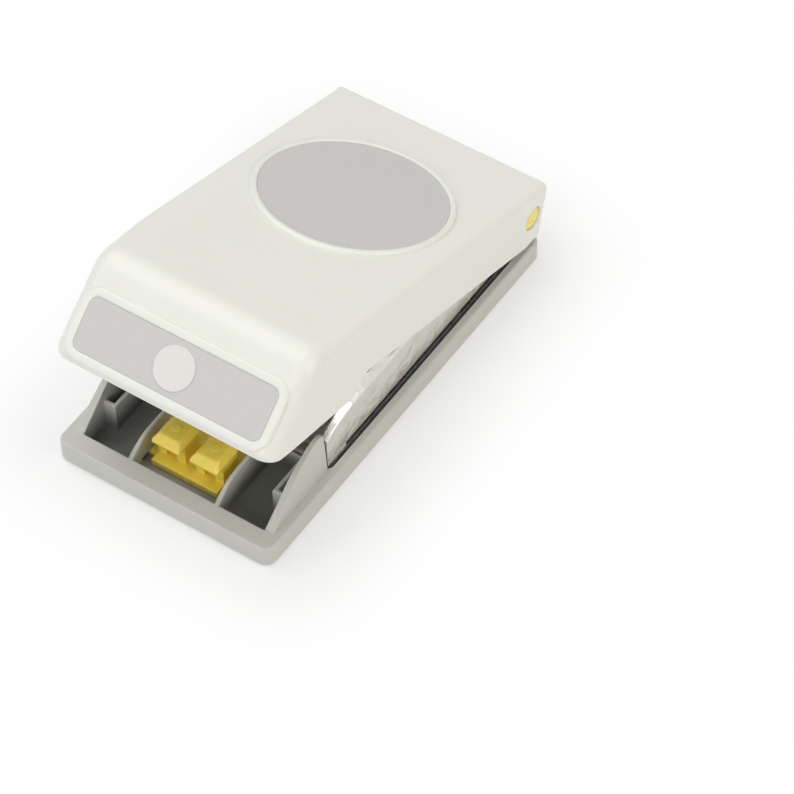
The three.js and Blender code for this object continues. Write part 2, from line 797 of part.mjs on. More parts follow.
function makeShell() {
  const outer = acrossX(leverProfile(), -leverHalf, leverHalf, edgeRound);
  const plan = upZ(planOutline(), -3 * lipDepth, 3 * lipDepth);
  const under = acrossX(underOutline(), -leverHalf - overrun, leverHalf + overrun);
  const hollow = acrossX(hollowProfile(), -leverInside, leverInside);
  const shell = cut(outer.intersect(plan), [under, hollow]);
  const bosses = armScrewPlaces.map(([x, y]) =>
    rodZ(x, y, bossRadius, webTop + seatGap, leverTop - leverTopWall / 2, screwSides));
  const ringTop = leverTop + ringRise;
  const ringInside = labelRadius + seatGap;
  const ring = rodZ(0, labelY, ringInside + ringWidth, leverTop - leverTopWall / 2, ringTop, fineSides)
    .subtract(rodZ(0, labelY, ringInside, -overrun, ringTop + overrun, fineSides));
  const frame = frontPad(labelHalfLength + seatGap + frontRing, labelHalfHeight + seatGap + frontRing,
    frontLabelCorner + seatGap + frontRing, -leverFrontWall / 2, frontRise)
    .subtract(frontPad(labelHalfLength + seatGap, labelHalfHeight + seatGap, frontLabelCorner + seatGap,
      -leverFrontWall, frontRise + overrun));
  const body = joined([shell, ...bosses, ring, frame]);
  const bores = armScrewPlaces.map(([x, y]) =>
    rodZ(x, y, smallScrewRadius + boreGap, armRise, webTop + armScrewBite + screwEnd, screwSides));
  const pinBore = rodX(0, 0, pinRadius + boreGap, -leverHalf - overrun, leverHalf + overrun, boreSides);
  const capSeats = sides.map((side) =>
    rodX(0, 0, capRadius + boreGap,
      side * (leverHalf - capShelf - capThickness), side * (leverHalf + overrun), boreSides));
  return cut(body, [...bores, pinBore, ...capSeats]);
}

place(lever, 'lever_shell', makeShell(), leverPlastic);
const labelUnder = leverTop + boreGap;
const topLabel = rodZ(0, labelY, labelRadius, labelUnder, labelUnder + labelThickness, fineSides);
place(lever, 'top_label', topLabel, labelGrey);
place(lever, 'front_label', frontPad(labelHalfLength, labelHalfHeight, frontLabelCorner,
  boreGap, boreGap + labelThickness), labelGrey);

const badge = new THREE.CylinderGeometry(badgeRadius, badgeRadius, badgeThickness, boreSides);
badge.rotateX(Math.PI / 2);
const badgeOut = 2 * boreGap + labelThickness + badgeThickness / 2;
place(lever, 'front_badge', leaned(badge, frontLabelSide, badgeOut), badgeWhite);

sides.forEach((side) => {
  const word = side < 0 ? 'left' : 'right';
  const inner = side * (leverHalf - capShelf - capThickness + boreGap);
  place(lever, `pivot_cap_${word}`,
    rodX(0, 0, capRadius, inner, side * (leverHalf - capShelf + boreGap), boreSides), yellowPlastic);
});

// Lever arm: a channel of pressed steel, with two hooks bent down at its front end
const hookX = (keySpace + keyWidth) / 2;

// A point of the still frame, seen from the lever when it is locked down
function whenLocked(y, z) {
  const dy = y - pivotY;
  const dz = z - pivotZ;
  return [
    dy * lockCos - dz * lockSin,
    dy * lockSin + dz * lockCos,
  ];
}

function hookOutline() {
  const [tipY, tipZ] = whenLocked(hookFront, hookTop);
  const backY = tipY - hookReach;
  const bendY = frontWallAt(webTop) + hookShoulder;
  return [
    [bendY + armSteel, armRise],
    [bendY + armSteel, webTop],
    [bendY, webTop],
    [backY, tipZ + hookNeck],
    [backY, tipZ - hookThickness],
    [tipY, tipZ - hookThickness],
    [tipY, tipZ],
    [backY + armSteel, tipZ],
    [backY + armSteel, tipZ + hookNeck - armSteel / 4],
    [bendY, armRise],
  ];
}

function webOutline() {
  const hooks = hookOutline();
  const tip = hooks[0][0] - seatGap;
  return [
    [flangeOutside, earWeb],
    [-flangeOutside, earWeb],
    [-flangeOutside, -armShoulder],
    [-armNarrow, -armShoulder - armTaper],
    [-armNarrow, tip],
    [armNarrow, tip],
    [armNarrow, -armShoulder - armTaper],
    [flangeOutside, -armShoulder],
  ];
}

const earWeb = Math.sqrt(armEarRadius ** 2 - pinRadius ** 2) - seatGap;

function flangeOutline() {
  return [
    ...arc(0, 0, armEarRadius, -90, 60, 8),
    [earWeb, webTop],
    [-armShoulder, webTop],
    [-armShoulder, armRise - armSteel],
    [-armShoulder + armTaper, -armSkirt],
    [-armEarRadius * 2, -armSkirt],
  ];
}

function makeArm() {
  const web = upZ(webOutline(), armRise, webTop);
  const flanges = sides.map((side) => acrossX(flangeOutline(), side * flangeInside, side * flangeOutside));
  const hooks = sides.map((side) =>
    acrossX(hookOutline(), side * hookX - hookWidth / 2, side * hookX + hookWidth / 2));
  const screwBores = armScrewPlaces.map(([x, y]) =>
    rodZ(x, y, smallScrewRadius + boreGap, armRise - overrun, webTop + overrun, screwSides));
  const barBores = sides.map((side) =>
    rodZ(side * barScrewX, pushY, smallScrewRadius + boreGap,
      armRise - overrun, webTop + overrun, screwSides));
  const pinBore = rodX(0, 0, pinRadius + boreGap, -baseHalf, baseHalf, boreSides);
  return cut(joined([web, ...flanges, ...hooks]), [...screwBores, ...barBores, pinBore]);
}

function makeBar() {
  const top = armRise - seatGap;
  const outline = [
    [pushY + barRadius, top],
    ...arc(pushY, pushZ, barRadius, 0, -180, 10),
    [pushY - barRadius, top],
  ];
  const bar = acrossX(outline.reverse(), -barLength / 2, barLength / 2);
  return cut(bar, sides.map((side) =>
    rodZ(side * barScrewX, pushY, smallScrewRadius + boreGap,
      top - barScrewBite - screwEnd, top + overrun, screwSides)));
}

place(lever, 'lever_arm', makeArm(), armMetal);
place(lever, 'press_bar', makeBar(), toolSteel);
sides.forEach((side) => {
  const word = side < 0 ? 'left' : 'right';
  const face = webTop + seatGap;
  const room = leverTop - leverTopWall - face - seatGap;
  const barScrew = screw(side * barScrewX, pushY, face,
    armRise - seatGap - barScrewBite, smallScrewRadius, smallHeadRadius, room);
  place(lever, `press_bar_screw_${word}`, barScrew, screwMetal);
});
armScrewPlaces.forEach(([x, y], index) => {
  place(lever, `arm_screw_${index + 1}`, screw(x, y, armRise - seatGap,
    webTop + armScrewBite, smallScrewRadius, smallHeadRadius, smallHeadHeight), screwMetal);
});

// Lock slide with its two keys
function keyOutline() {
  const back = keyFront + keyDepth;
  const top = keyUnder + keyThickness;
  return [
    [keyFront, keyUnder],
    [back, keyUnder],
    [back, top - keyBevel / 3],
    [back - keyBevel / 3, top],
    [keyFront + keyBevel, top],
    [keyFront, top - keyBevel],
  ];
}

function makeLock() {
  const plateFront = lockFront;
  const plateBack = lockBack;
  const plate = box(-keyOuter, keyOuter, plateFront, plateBack, lockBottom, lockBottom + lockPlate);
  const legFront = keyFront + keyOverhang;
  const legBack = keyFront + keyDepth;
  const pieces = sides.flatMap((side) => {
    const inner = side * keySpace / 2;
    const outer = side * keyOuter;
    return [
      acrossX(keyOutline(), inner, outer, seatGap),
      box(inner, inner + side * keyLeg, legFront, legBack, lockBottom, keyUnder + keyBevel / 3),
      box(outer - side * keyLeg, outer, legFront, legBack, lockBottom, keyUnder + keyBevel / 3),
      box(inner + side * keyLeg / 2, outer - side * keyLeg / 2, legBack - keyLeg, legBack,
        lockBottom, keyUnder + keyBevel / 3),
      box(side * (keyOuter - seatGap), side * (ribInside + ribOutside) / 2,
        plateFront + tongueFront, plateBack, lockBottom, tongueTop),
    ];
  });
  return joined([plate, ...pieces]);
}

place(still, 'lock_slider', makeLock(), yellowPlastic);

export default punch;
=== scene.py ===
# %% [markdown]
# A hand-lever craft punch with a round cutter
#
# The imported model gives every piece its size, its place and the body that it moves with. This
# file gives the pieces their fine shapes and finishes: soft moulded edges, cast and pressed metal,
# matt films. It works in metres, in the model's own frame, with +Z up and the lever's front at -Y.
# Small sizes are written in millimetres and multiplied once, so that they read as a drawing does.

# %% Load the model as the fixed frame
import json
import math

import bmesh
import bpy
from mathutils import Matrix, Vector

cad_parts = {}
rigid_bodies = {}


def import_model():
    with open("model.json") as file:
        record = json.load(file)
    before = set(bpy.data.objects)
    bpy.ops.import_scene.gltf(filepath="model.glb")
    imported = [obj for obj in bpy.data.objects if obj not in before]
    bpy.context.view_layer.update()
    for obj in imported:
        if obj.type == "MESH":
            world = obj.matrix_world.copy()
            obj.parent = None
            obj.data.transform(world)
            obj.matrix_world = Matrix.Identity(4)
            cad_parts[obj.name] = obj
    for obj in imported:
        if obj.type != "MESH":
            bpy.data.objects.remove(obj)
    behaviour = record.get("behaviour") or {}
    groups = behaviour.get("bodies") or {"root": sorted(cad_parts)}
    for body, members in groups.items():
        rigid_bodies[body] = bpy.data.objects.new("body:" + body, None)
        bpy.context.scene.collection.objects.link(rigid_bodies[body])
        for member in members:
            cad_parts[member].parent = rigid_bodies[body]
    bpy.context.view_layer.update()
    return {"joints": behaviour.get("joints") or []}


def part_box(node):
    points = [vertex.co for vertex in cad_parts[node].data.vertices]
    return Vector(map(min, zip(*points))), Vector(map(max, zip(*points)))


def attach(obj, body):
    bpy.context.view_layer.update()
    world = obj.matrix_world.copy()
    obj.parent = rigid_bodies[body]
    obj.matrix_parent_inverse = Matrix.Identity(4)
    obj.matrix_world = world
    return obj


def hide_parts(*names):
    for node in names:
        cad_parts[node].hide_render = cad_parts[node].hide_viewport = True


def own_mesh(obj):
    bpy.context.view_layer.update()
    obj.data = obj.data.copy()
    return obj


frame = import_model()
mm = 0.001
scene = bpy.context.scene

# %% [markdown]
# The camera
#
# A product picture from a high front corner flattens the object, because it is taken from far
# away with a long lens. The direction is written as two angles and a small roll, which are easier
# to change than a matrix, and the matrix is worked out from them.

# %% Camera
camera_place = Vector((0.4012, -0.5382, 0.7899))
camera_azimuth = math.radians(34.66)
camera_elevation = math.radians(50.4)
camera_roll = math.radians(1.09)

ahead = Vector((
    -math.sin(camera_azimuth) * math.cos(camera_elevation),
    math.cos(camera_azimuth) * math.cos(camera_elevation),
    -math.sin(camera_elevation),
))
right = ahead.cross(Vector((0, 0, 1))).normalized()
right.rotate(Matrix.Rotation(camera_roll, 3, ahead))
up = right.cross(ahead)

camera_data = bpy.data.cameras.new("camera")
camera_data.lens = 172.6
camera_data.sensor_width = 36
camera = bpy.data.objects.new("camera", camera_data)
turned = Matrix((right, up, -ahead)).transposed().to_4x4()
camera.matrix_world = Matrix.Translation(camera_place) @ turned
scene.collection.objects.link(camera)
scene.camera = camera
print("camera looks along", [round(v, 4) for v in ahead])

# %% [markdown]
# Shader sums in plain Python
#
# A material is a graph of nodes, and a sum of three terms is already six clicks. Reading wraps one
# output of a node, so that `1 - mask * 0.3` adds its Math nodes by itself. Graph holds a node tree
# and makes every other node by one method: the node's type, its settings, its inputs. Recipe is
# the graph of a material or of the world.

# %% Reading, Graph and Recipe
class Reading:
    """One output of a node. Sums, products and shares of it add Math nodes."""

    def __init__(self, graph, socket):
        self.graph = graph
        self.socket = socket

    def math(self, operation, first, second):
        return self.graph.node("ShaderNodeMath", {"operation": operation}, {0: first, 1: second})

    def __add__(self, other):
        return self.math("ADD", self, other)

    def __sub__(self, other):
        return self.math("SUBTRACT", self, other)

    def __rsub__(self, other):
        return self.math("SUBTRACT", other, self)

    def __mul__(self, other):
        return self.math("MULTIPLY", self, other)

    def __truediv__(self, other):
        return self.math("DIVIDE", self, other)

    def __rtruediv__(self, other):
        return self.math("DIVIDE", other, self)

    __radd__ = __add__
    __rmul__ = __mul__


class Graph:
    """A node tree, with one method that makes a node of any type."""

    def __init__(self, tree):
        self.tree = tree

    def node(self, kind, settings=None, inputs=None, output=0):
        """An input is a value, a Reading, or a list of Readings where it takes several."""
        made = self.tree.nodes.new(kind)
        for name, value in (settings or {}).items():
            setattr(made, name, value)
        for name, value in (inputs or {}).items():
            for one in value if isinstance(value, list) else [value]:
                if isinstance(one, Reading):
                    self.tree.links.new(one.socket, made.inputs[name])
                else:
                    made.inputs[name].default_value = one
        return Reading(self, made.outputs[output]) if made.outputs else made

    def outputs(self, kind, inputs=None):
        """All outputs of a new node by their names."""
        made = self.node(kind, {}, inputs).socket.node
        return {socket.name: Reading(self, socket) for socket in made.outputs}


class Recipe(Graph):
    """The graph of a material or of the world."""

    def __init__(self, owner):
        owner.use_nodes = True
        super().__init__(owner.node_tree)
        self.tree.nodes.clear()

    def place(self, stretch=(1, 1, 1)):
        where = self.node("ShaderNodeTexCoord", output=3)
        return self.node("ShaderNodeMapping", {}, {"Vector": where, "Scale": stretch})

    def noise(self, size, detail=2, stretch=(1, 1, 1)):
        """Cloudy values round 0.5, with blots of about that size in mm."""
        return self.node("ShaderNodeTexNoise", {}, {
            "Vector": self.place(stretch), "Scale": 1 / (size * mm), "Detail": detail, "Roughness": 0.55})

    def ramp(self, value, first, last, low=0.0, high=1.0):
        """Goes softly from low at the first value to high at the last."""
        return self.node("ShaderNodeMapRange", {"interpolation_type": "SMOOTHSTEP"}, {
            "Value": value, "From Min": first, "From Max": last, "To Min": low, "To Max": high})

    def between(self, share, first, second):
        return self.node("ShaderNodeMix", {"data_type": "RGBA"}, {0: share, 6: first, 7: second}, 2)

    def bumps(self, height, depth, strength):
        return self.node("ShaderNodeBump", {}, {
            "Height": height, "Distance": depth * mm, "Strength": strength})

    def seen_by(self, *kinds):
        """1 for light rays of these kinds, 0 for all others."""
        path = self.outputs("ShaderNodeLightPath")
        return sum(path[f"Is {kind} Ray"] for kind in kinds)


def linear(colour):
    """A colour as a picture file holds it, 0 to 255, as the linear values that a shader takes."""
    parts = [channel / 255 for channel in colour]
    return (*[p / 12.92 if p <= 0.04045 else ((p + 0.055) / 1.055) ** 2.4 for p in parts], 1)


materials = {}


def finish(name, **inputs):
    """A material with one Principled shader. A function of its recipe may stand for an input."""
    materials[name] = bpy.data.materials.new(name)
    recipe = Recipe(materials[name])
    values = {key.replace("_", " "): value(recipe) if callable(value) else value
              for key, value in inputs.items()}
    surface = recipe.node("ShaderNodeBsdfPrincipled", {}, values)
    recipe.node("ShaderNodeOutputMaterial", {}, {"Surface": surface})


print("shader helpers ready")

# %% [markdown]
# The finishes
#
# Moulded plastic is never one flat value: its satin comes from a fine grain in the mould, and its
# roughness drifts a little over a hand's width. Each finish here is the plain colour, a slow drift
# and a fine grain, with their sizes in mm. The drifts are a few percent, because a larger one reads
# as dirt. The yellow plastic lets a little light in and has a gloss coat.

# %% Drift, wander and grain
def drift(first, second, size, detail=3):
    """A colour that wanders slowly between two near colours."""
    return lambda recipe: recipe.between(recipe.noise(size, detail), linear(first), linear(second))


def wander(middle, spread, size):
    """A number that wanders by that spread round its middle."""
    return lambda recipe: (recipe.noise(size) - 0.5) * (2 * spread) + middle


def grain(size, depth, strength):
    """Fine bumps, as a mould's face leaves them."""
    return lambda recipe: recipe.bumps(recipe.noise(size), depth, strength)


print("patterns ready")

# %% Plastics, films and rubber
finish("lever_plastic",
       Base_Color=drift((233, 234, 227), (229, 229, 221), 28),
       Roughness=wander(0.33, 0.02, 9),
       Normal=grain(0.5, 0.006, 0.25),
       Subsurface_Weight=0.06,
       Subsurface_Radius=(1.0, 0.9, 0.7),
       Subsurface_Scale=1.2 * mm)
finish("label_grey",
       Base_Color=drift((203, 202, 200), (197, 196, 194), 2.2, 4),
       Roughness=wander(0.55, 0.05, 4),
       Normal=grain(0.22, 0.01, 0.6))
finish("badge_white",
       Base_Color=drift((224, 223, 219), (219, 218, 214), 3),
       Roughness=wander(0.5, 0.04, 3),
       Normal=grain(0.25, 0.01, 0.5))
finish("yellow_plastic",
       Base_Color=drift((252, 225, 92), (247, 215, 80), 7),
       Roughness=wander(0.27, 0.04, 5),
       Normal=grain(0.35, 0.012, 0.35),
       Subsurface_Weight=0.4,
       Subsurface_Radius=(1.0, 0.75, 0.25),
       Subsurface_Scale=2.0 * mm,
       Coat_Weight=0.6,
       Coat_Roughness=0.12)
finish("foot_rubber",
       Base_Color=drift((78, 78, 76), (66, 66, 64), 3),
       Roughness=wander(0.8, 0.06, 2),
       Normal=grain(0.4, 0.03, 0.6))
print("finishes", sorted(materials))

# %% [markdown]
# The grey plastic and its painted bay shade
#
# Deep between the walls of the front bay little light arrives. The studio lamps alone leave it too
# pale, so a painted shade darkens the plastic's colour with depth there. Its mask is a product of soft
# ramps along x, y and z, one for each side of the bay, and it is weaker between the two ribs.

# %% Grey plastic
def painted_bay_shade(recipe):
    """Painted shade's mask: 1 on the bay's floor and low on its walls, 0 above them and outside the bay.
    """
    low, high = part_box("base_tray")
    place = recipe.node("ShaderNodeTexCoord", output=3)
    x, y, z = recipe.outputs("ShaderNodeSeparateXYZ", {0: place}).values()
    inside = high.x - 5.4 * mm
    depth = recipe.ramp(z, low.z + 11 * mm, low.z + 2.5 * mm)
    above_the_sole = recipe.ramp(z, low.z + 0.8 * mm, low.z + 1.4 * mm)
    between_the_cheeks = recipe.ramp(x * x, (inside + 0.4 * mm) ** 2, inside ** 2)
    beside_the_ribs = recipe.ramp(x * x, (13.2 * mm) ** 2, (14 * mm) ** 2, 0.4, 1)
    behind_the_rim = recipe.ramp(y, low.y + 5.3 * mm, low.y + 5.8 * mm)
    before_the_die = recipe.ramp(y, low.y + 32 * mm, low.y + 31 * mm)
    return (depth * above_the_sole * between_the_cheeks * beside_the_ribs * behind_the_rim
            * before_the_die)


def grey_with_painted_shade(recipe):
    plain = drift((199, 199, 193), (193, 192, 185), 22)(recipe)
    # Painted shade: deep in the bay the plain grey turns towards a dark grey.
    return recipe.between(painted_bay_shade(recipe) * 0.86, plain, linear((80, 80, 74)))


finish("base_plastic",
       Base_Color=grey_with_painted_shade,
       Roughness=wander(0.3, 0.03, 8),
       Normal=grain(0.3, 0.014, 0.45))
print("finishes", len(materials))

# %% [markdown]
# The metals
#
# Metal shows what is round it, so its finish is in how it bends that picture. Cast zinc that was
# polished by tumbling keeps a soft swell from the mould. Ground steel carries straight fine lines,
# and plated sheet a faint mottle. Each is a bump or a tone with its own size and direction.

# %% Metals
def swell(recipe):
    """Wide soft waves with finer ones on top, as on a tumbled casting."""
    return recipe.bumps(recipe.noise(5, 1) + recipe.noise(1.6, 3) * 0.35, 0.7, 0.6)


def ground(recipe):
    """Fine parallel lines along x: the pattern is stretched that way."""
    return recipe.bumps(recipe.noise(0.25, 2, (0.08, 1, 1)), 0.006, 0.35)


def mottle(first, second, size):
    """Plated sheet: small flat patches that differ a little in tone."""
    def colour(recipe):
        cells = {"Vector": recipe.place(), "Scale": 1 / (size * mm)}
        patch = recipe.node("ShaderNodeTexVoronoi", {}, cells, 1)
        tone = recipe.node("ShaderNodeSeparateColor", {}, {"Color": patch})
        return recipe.between(tone, linear(first), linear(second))
    return colour


finish("cast_metal", Metallic=1.0,
       Base_Color=drift((223, 220, 212), (208, 205, 197), 5),
       Roughness=wander(0.22, 0.06, 3),
       Normal=swell)
finish("tool_steel", Metallic=1.0,
       Base_Color=drift((203, 205, 207), (190, 192, 195), 6),
       Roughness=wander(0.28, 0.05, 4),
       Normal=ground)
finish("arm_steel", Metallic=1.0,
       Base_Color=mottle((220, 221, 223), (203, 205, 208), 2.5),
       Roughness=wander(0.34, 0.06, 3),
       Normal=grain(0.5, 0.01, 0.5))
finish("screw_steel", Metallic=1.0,
       Base_Color=drift((214, 215, 216), (200, 201, 203), 2),
       Roughness=wander(0.24, 0.05, 1.5),
       Normal=grain(0.2, 0.006, 0.5))
print("finishes", len(materials))

# %% [markdown]
# Making solids
#
# Most pieces are outlines pushed out to a thickness, then joined and cut. Outlines are lists of
# points in millimetres, with their round stretches as arcs. A solid's sharp rims are rounded by a
# Bevel modifier that takes only steep edges, and a Weighted Normal modifier keeps the large flat
# faces flat in the light. Then the modifiers are applied, so that each piece is one plain mesh.

# %% Outlines
def arc(centre, radius, start, end, steps):
    """Points on an arc, its angles in degrees."""
    angles = [math.radians(start + (end - start) * i / steps) for i in range(steps + 1)]
    return [(centre[0] + radius * math.cos(a), centre[1] + radius * math.sin(a)) for a in angles]


def circle(y, radius, steps):
    """A closed circle round (0, y): its last point stays short of the first."""
    return arc((0, y), radius, 0, 360 * (1 - 1 / steps), steps - 1)


def rounded_rectangle(x0, x1, y0, y1, radius, steps=8):
    points = []
    for x, y, angle in ((x1 - radius, y1 - radius, 0), (x0 + radius, y1 - radius, 90),
                        (x0 + radius, y0 + radius, 180), (x1 - radius, y0 + radius, 270)):
        points += arc((x, y), radius, angle, angle + 90, steps)
    return points


def flowing(points, steps=6):
    """A smooth line through the points (a Catmull-Rom curve)."""
    padded = [points[0], *points, points[-1]]
    line = []
    for a, b, c, d in zip(padded, padded[1:], padded[2:], padded[3:]):
        for i in range(steps):
            t = i / steps
            line.append(tuple(
                0.5 * (2 * q + (r - p) * t + (2 * p - 5 * q + 4 * r - s) * t * t
                       + (3 * q - p - 3 * r + s) * t ** 3)
                for p, q, r, s in zip(a, b, c, d)))
    return [*line, tuple(points[-1])]


def smooth_share(value, low, high):
    """0 below low, 1 above high, and a soft step between them."""
    t = min(1, max(0, (value - low) / (high - low)))
    return t * t * (3 - 2 * t)


print("outline helpers ready")

# %% Meshes from points and rows
def reshape(mesh, *changes):
    """Opens a mesh, makes the changes and writes it back."""
    shape = bmesh.new()
    shape.from_mesh(mesh)
    for change in changes:
        change(shape)
    shape.to_mesh(mesh)
    shape.free()


def merge(distance):
    return lambda shape: bmesh.ops.remove_doubles(shape, verts=shape.verts, dist=distance * mm)


def turn_outward(shape):
    bmesh.ops.recalc_face_normals(shape, faces=shape.faces)


def drop_slivers(shape):
    bmesh.ops.dissolve_degenerate(shape, edges=shape.edges, dist=1e-3 * mm)


def new_object(name, mesh):
    made = bpy.data.objects.new(name, mesh)
    scene.collection.objects.link(made)
    return made


def from_faces(points, faces):
    """A closed mesh from points in mm, with its doubles merged and its faces turned outward."""
    mesh = bpy.data.meshes.new("solid")
    mesh.from_pydata([Vector(p) * mm for p in points], [], faces)
    reshape(mesh, merge(1e-3), turn_outward)
    return new_object("solid", mesh)


def quads(rows, count, ring=False, closed=True):
    """Faces between neighbouring rows of count points. A closed row joins its ends, and in a ring
    the last row joins the first."""
    faces = []
    for i in range(rows if ring else rows - 1):
        j = (i + 1) % rows
        for k in range(count if closed else count - 1):
            m = (k + 1) % count
            faces.append([i * count + k, i * count + m, j * count + m, j * count + k])
    return faces


def stack(rows):
    """A closed skin over rows of 3-D points, with a flat face at each end."""
    count = len(rows[0])
    last = count * (len(rows) - 1)
    faces = [*quads(len(rows), count), list(range(count)), list(range(last, last + count))]
    return from_faces([point for row in rows for point in row], faces)


print("mesh helpers ready")

# %% Prisms and rods
def standing(axis, a, b, height):
    """A point of an outline, (a, b), pushed along an axis. The outline lies across that axis."""
    return {"x": (height, a, b), "y": (a, height, b), "z": (a, b, height)}[axis]


def prism(outline, axis, low, high, rim=0, steps=3, far_outline=None):
    """An outline pushed along an axis, with the edges of both end faces rounded by rim.
    far_outline is the shape at the high end, where the piece tapers."""
    count = len(outline)
    made = stack([[standing(axis, a, b, low) for a, b in outline],
                  [standing(axis, a, b, high) for a, b in far_outline or outline]])

    def round_ends(shape):
        ends = [face for face in shape.faces if len(face.verts) == count and count > 4]
        if not ends:
            ends = [face for face in shape.faces if abs(face.normal["xyz".index(axis)]) > 0.99]
        edges = list({edge for face in ends for edge in face.edges})
        bmesh.ops.bevel(shape, geom=edges, offset=rim * mm, segments=steps, profile=0.5,
                        affect="EDGES", clamp_overlap=True)

    if rim:
        reshape(made.data, round_ends)
    return made


def slab(outline, first, last, rim=0, steps=3):
    """A prism along x between two places, given in either order."""
    return prism(outline, "x", *sorted((first, last)), rim, steps)


def block(x0, x1, y0, y1, z0, z1, rim=0):
    x0, x1 = sorted((x0, x1))
    return prism([(x0, y0), (x1, y0), (x1, y1), (x0, y1)], "z", z0, z1, rim)


def lathe(profile, centre, axis="z", steps=64):
    """A profile of (radius, height) points turned round an axis through centre, heights counted
    from it."""
    points = []
    for i in range(steps):
        angle = 2 * math.pi * i / steps
        for radius, height in profile:
            out = standing(axis, radius * math.cos(angle), radius * math.sin(angle), height)
            points.append([p + c for p, c in zip(out, centre)])
    count = len(profile)
    off_axis = [profile[k][0] or profile[(k + 1) % count][0] for k in range(count)]
    faces = [face for n, face in enumerate(quads(steps, count, ring=True)) if off_axis[n % count]]
    made = from_faces(points, faces)
    reshape(made.data, drop_slivers, turn_outward)
    return made


def rod(centre, axis, radius, low, high, rim=0, steps=32):
    """A plain rod whose ends are rounded by rim."""
    turns = arc((radius - rim, high - rim), rim, 0, 90, 3) if rim else [(radius, high)]
    foot = arc((radius - rim, low + rim), rim, -90, 0, 3) if rim else [(radius, low)]
    return lathe([(0, low), *foot, *turns, (0, high)], centre, axis, steps)


def rods(places, radius, low, high, steps=24, rim=0):
    """Upright rods at (x, y) places. Most cut bores, and reach well past the faces they open."""
    return [rod((x, y, 0), "z", radius, low, high, rim, steps) for x, y in places]


print("prisms and rods ready")

# %% Join, cut and round
def freeze(piece):
    """Applies the modifiers: the result is a plain mesh."""
    graph = bpy.context.evaluated_depsgraph_get()
    mesh = bpy.data.meshes.new_from_object(piece.evaluated_get(graph))
    piece.modifiers.clear()
    old = piece.data
    piece.data = mesh
    bpy.data.meshes.remove(old)
    return piece


def combine(operation, body, tools):
    for tool in tools:
        modifier = body.modifiers.new("join or cut", "BOOLEAN")
        modifier.operation = operation
        modifier.solver = "EXACT"
        modifier.object = tool
    freeze(body)
    for tool in tools:
        mesh = tool.data
        bpy.data.objects.remove(tool)
        bpy.data.meshes.remove(mesh)
    return body


def join(body, *tools):
    return combine("UNION", body, tools)


def cut(body, *tools):
    return combine("DIFFERENCE", body, tools)


def soften(piece, width, steps=3, angle=50):
    """Rounds the edges that are steeper than the angle, then smooths the light over the piece."""
    def unite_flats(shape):
        bmesh.ops.dissolve_limit(shape, angle_limit=math.radians(0.3), verts=shape.verts,
                                 edges=shape.edges)

    reshape(piece.data, merge(2e-3), unite_flats)
    if width:
        rounding = piece.modifiers.new("round the edges", "BEVEL")
        rounding.width = width * mm
        rounding.segments = steps
        rounding.limit_method = "ANGLE"
        rounding.angle_limit = math.radians(angle)
        rounding.use_clamp_overlap = True
        rounding.miter_outer = "MITER_ARC"
        freeze(piece)
    piece.data.shade_smooth()
    piece.data.set_sharp_from_angle(angle=math.radians(46))
    weights = piece.modifiers.new("keep flats flat", "WEIGHTED_NORMAL")
    weights.keep_sharp = True
    weights.weight = 60
    return freeze(piece)


print("join, cut and round ready")

# %% [markdown]
# Handing a piece over
#
# The model moves its own nodes with its bodies. A finished piece rides on one body and stands in
# for the nodes that it is the better picture of. The nodes' boxes give the sizes and places that a
# piece has to keep, so much of what follows is counted from them.

# %% Hand a piece over to the frame
def fit(piece, name, body, slot, replaced=None):
    """Names the piece, gives it its finish, and lets it ride on a body in place of CAD nodes."""
    piece.name = name
    piece.data.name = name
    piece.data.materials.clear()
    piece.data.materials.append(materials[slot])
    for face in piece.data.polygons:
        face.material_index = 0
    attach(piece, body)
    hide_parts(*(replaced or [name.removeprefix("fine_")]))
    print(name, len(piece.data.polygons), "faces")
    return piece


def box_mm(node):
    """A node's lowest and highest corners in mm."""
    return [Vector(corner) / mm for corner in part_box(node)]


sides = ((-1, "left"), (1, "right"))

# %% [markdown]
# The lever shell
#
# On the real punch this is one thin moulding: a level top, a wide bend, a sloped front, and side
# walls that step down towards the nose. Its edges are what the eye reads: tight and even along
# the top, wide round the front corners. A boxy solid with one bevel can't change its radius on the
# way, so the skin is swept: a path runs from the back wall over the top and down the front, and at
# each station a row of points goes across, with round shoulders whose radius follows the path.
# The inside is a second skin made the same way, and a rim joins the two.

# %% The lever's own frame
# In it, u runs to the back and w upward, both in mm from the pivot.
tilt = math.radians(17.44)
pivot = Vector(frame["joints"][0]["pos_m"])
lever_place = Matrix.Translation(pivot) @ Matrix.Rotation(-tilt, 4, "X")

half_width = 34.69
top = 9.19
reach = 124.64
nose_depth = 15.3
lip_depth = 17.6
front_lean = math.radians(31.4)
bend = 10.0
side_wall, top_wall, front_wall, rear_wall = 2.0, 2.4, 2.2, 1.8
skirt, front_skirt = 9.6, 16.0
step_back, step_front = -80.2, -87.6
rear_foot = (6.62, -8.4)
rear_top = 6.0
nose = (-reach, -nose_depth)
lip = (-reach + 0.85, -lip_depth)
slope = math.tan(front_lean)


def on_lever(piece):
    """Takes a piece made in the lever's frame to its place."""
    piece.data.transform(lever_place)
    return piece


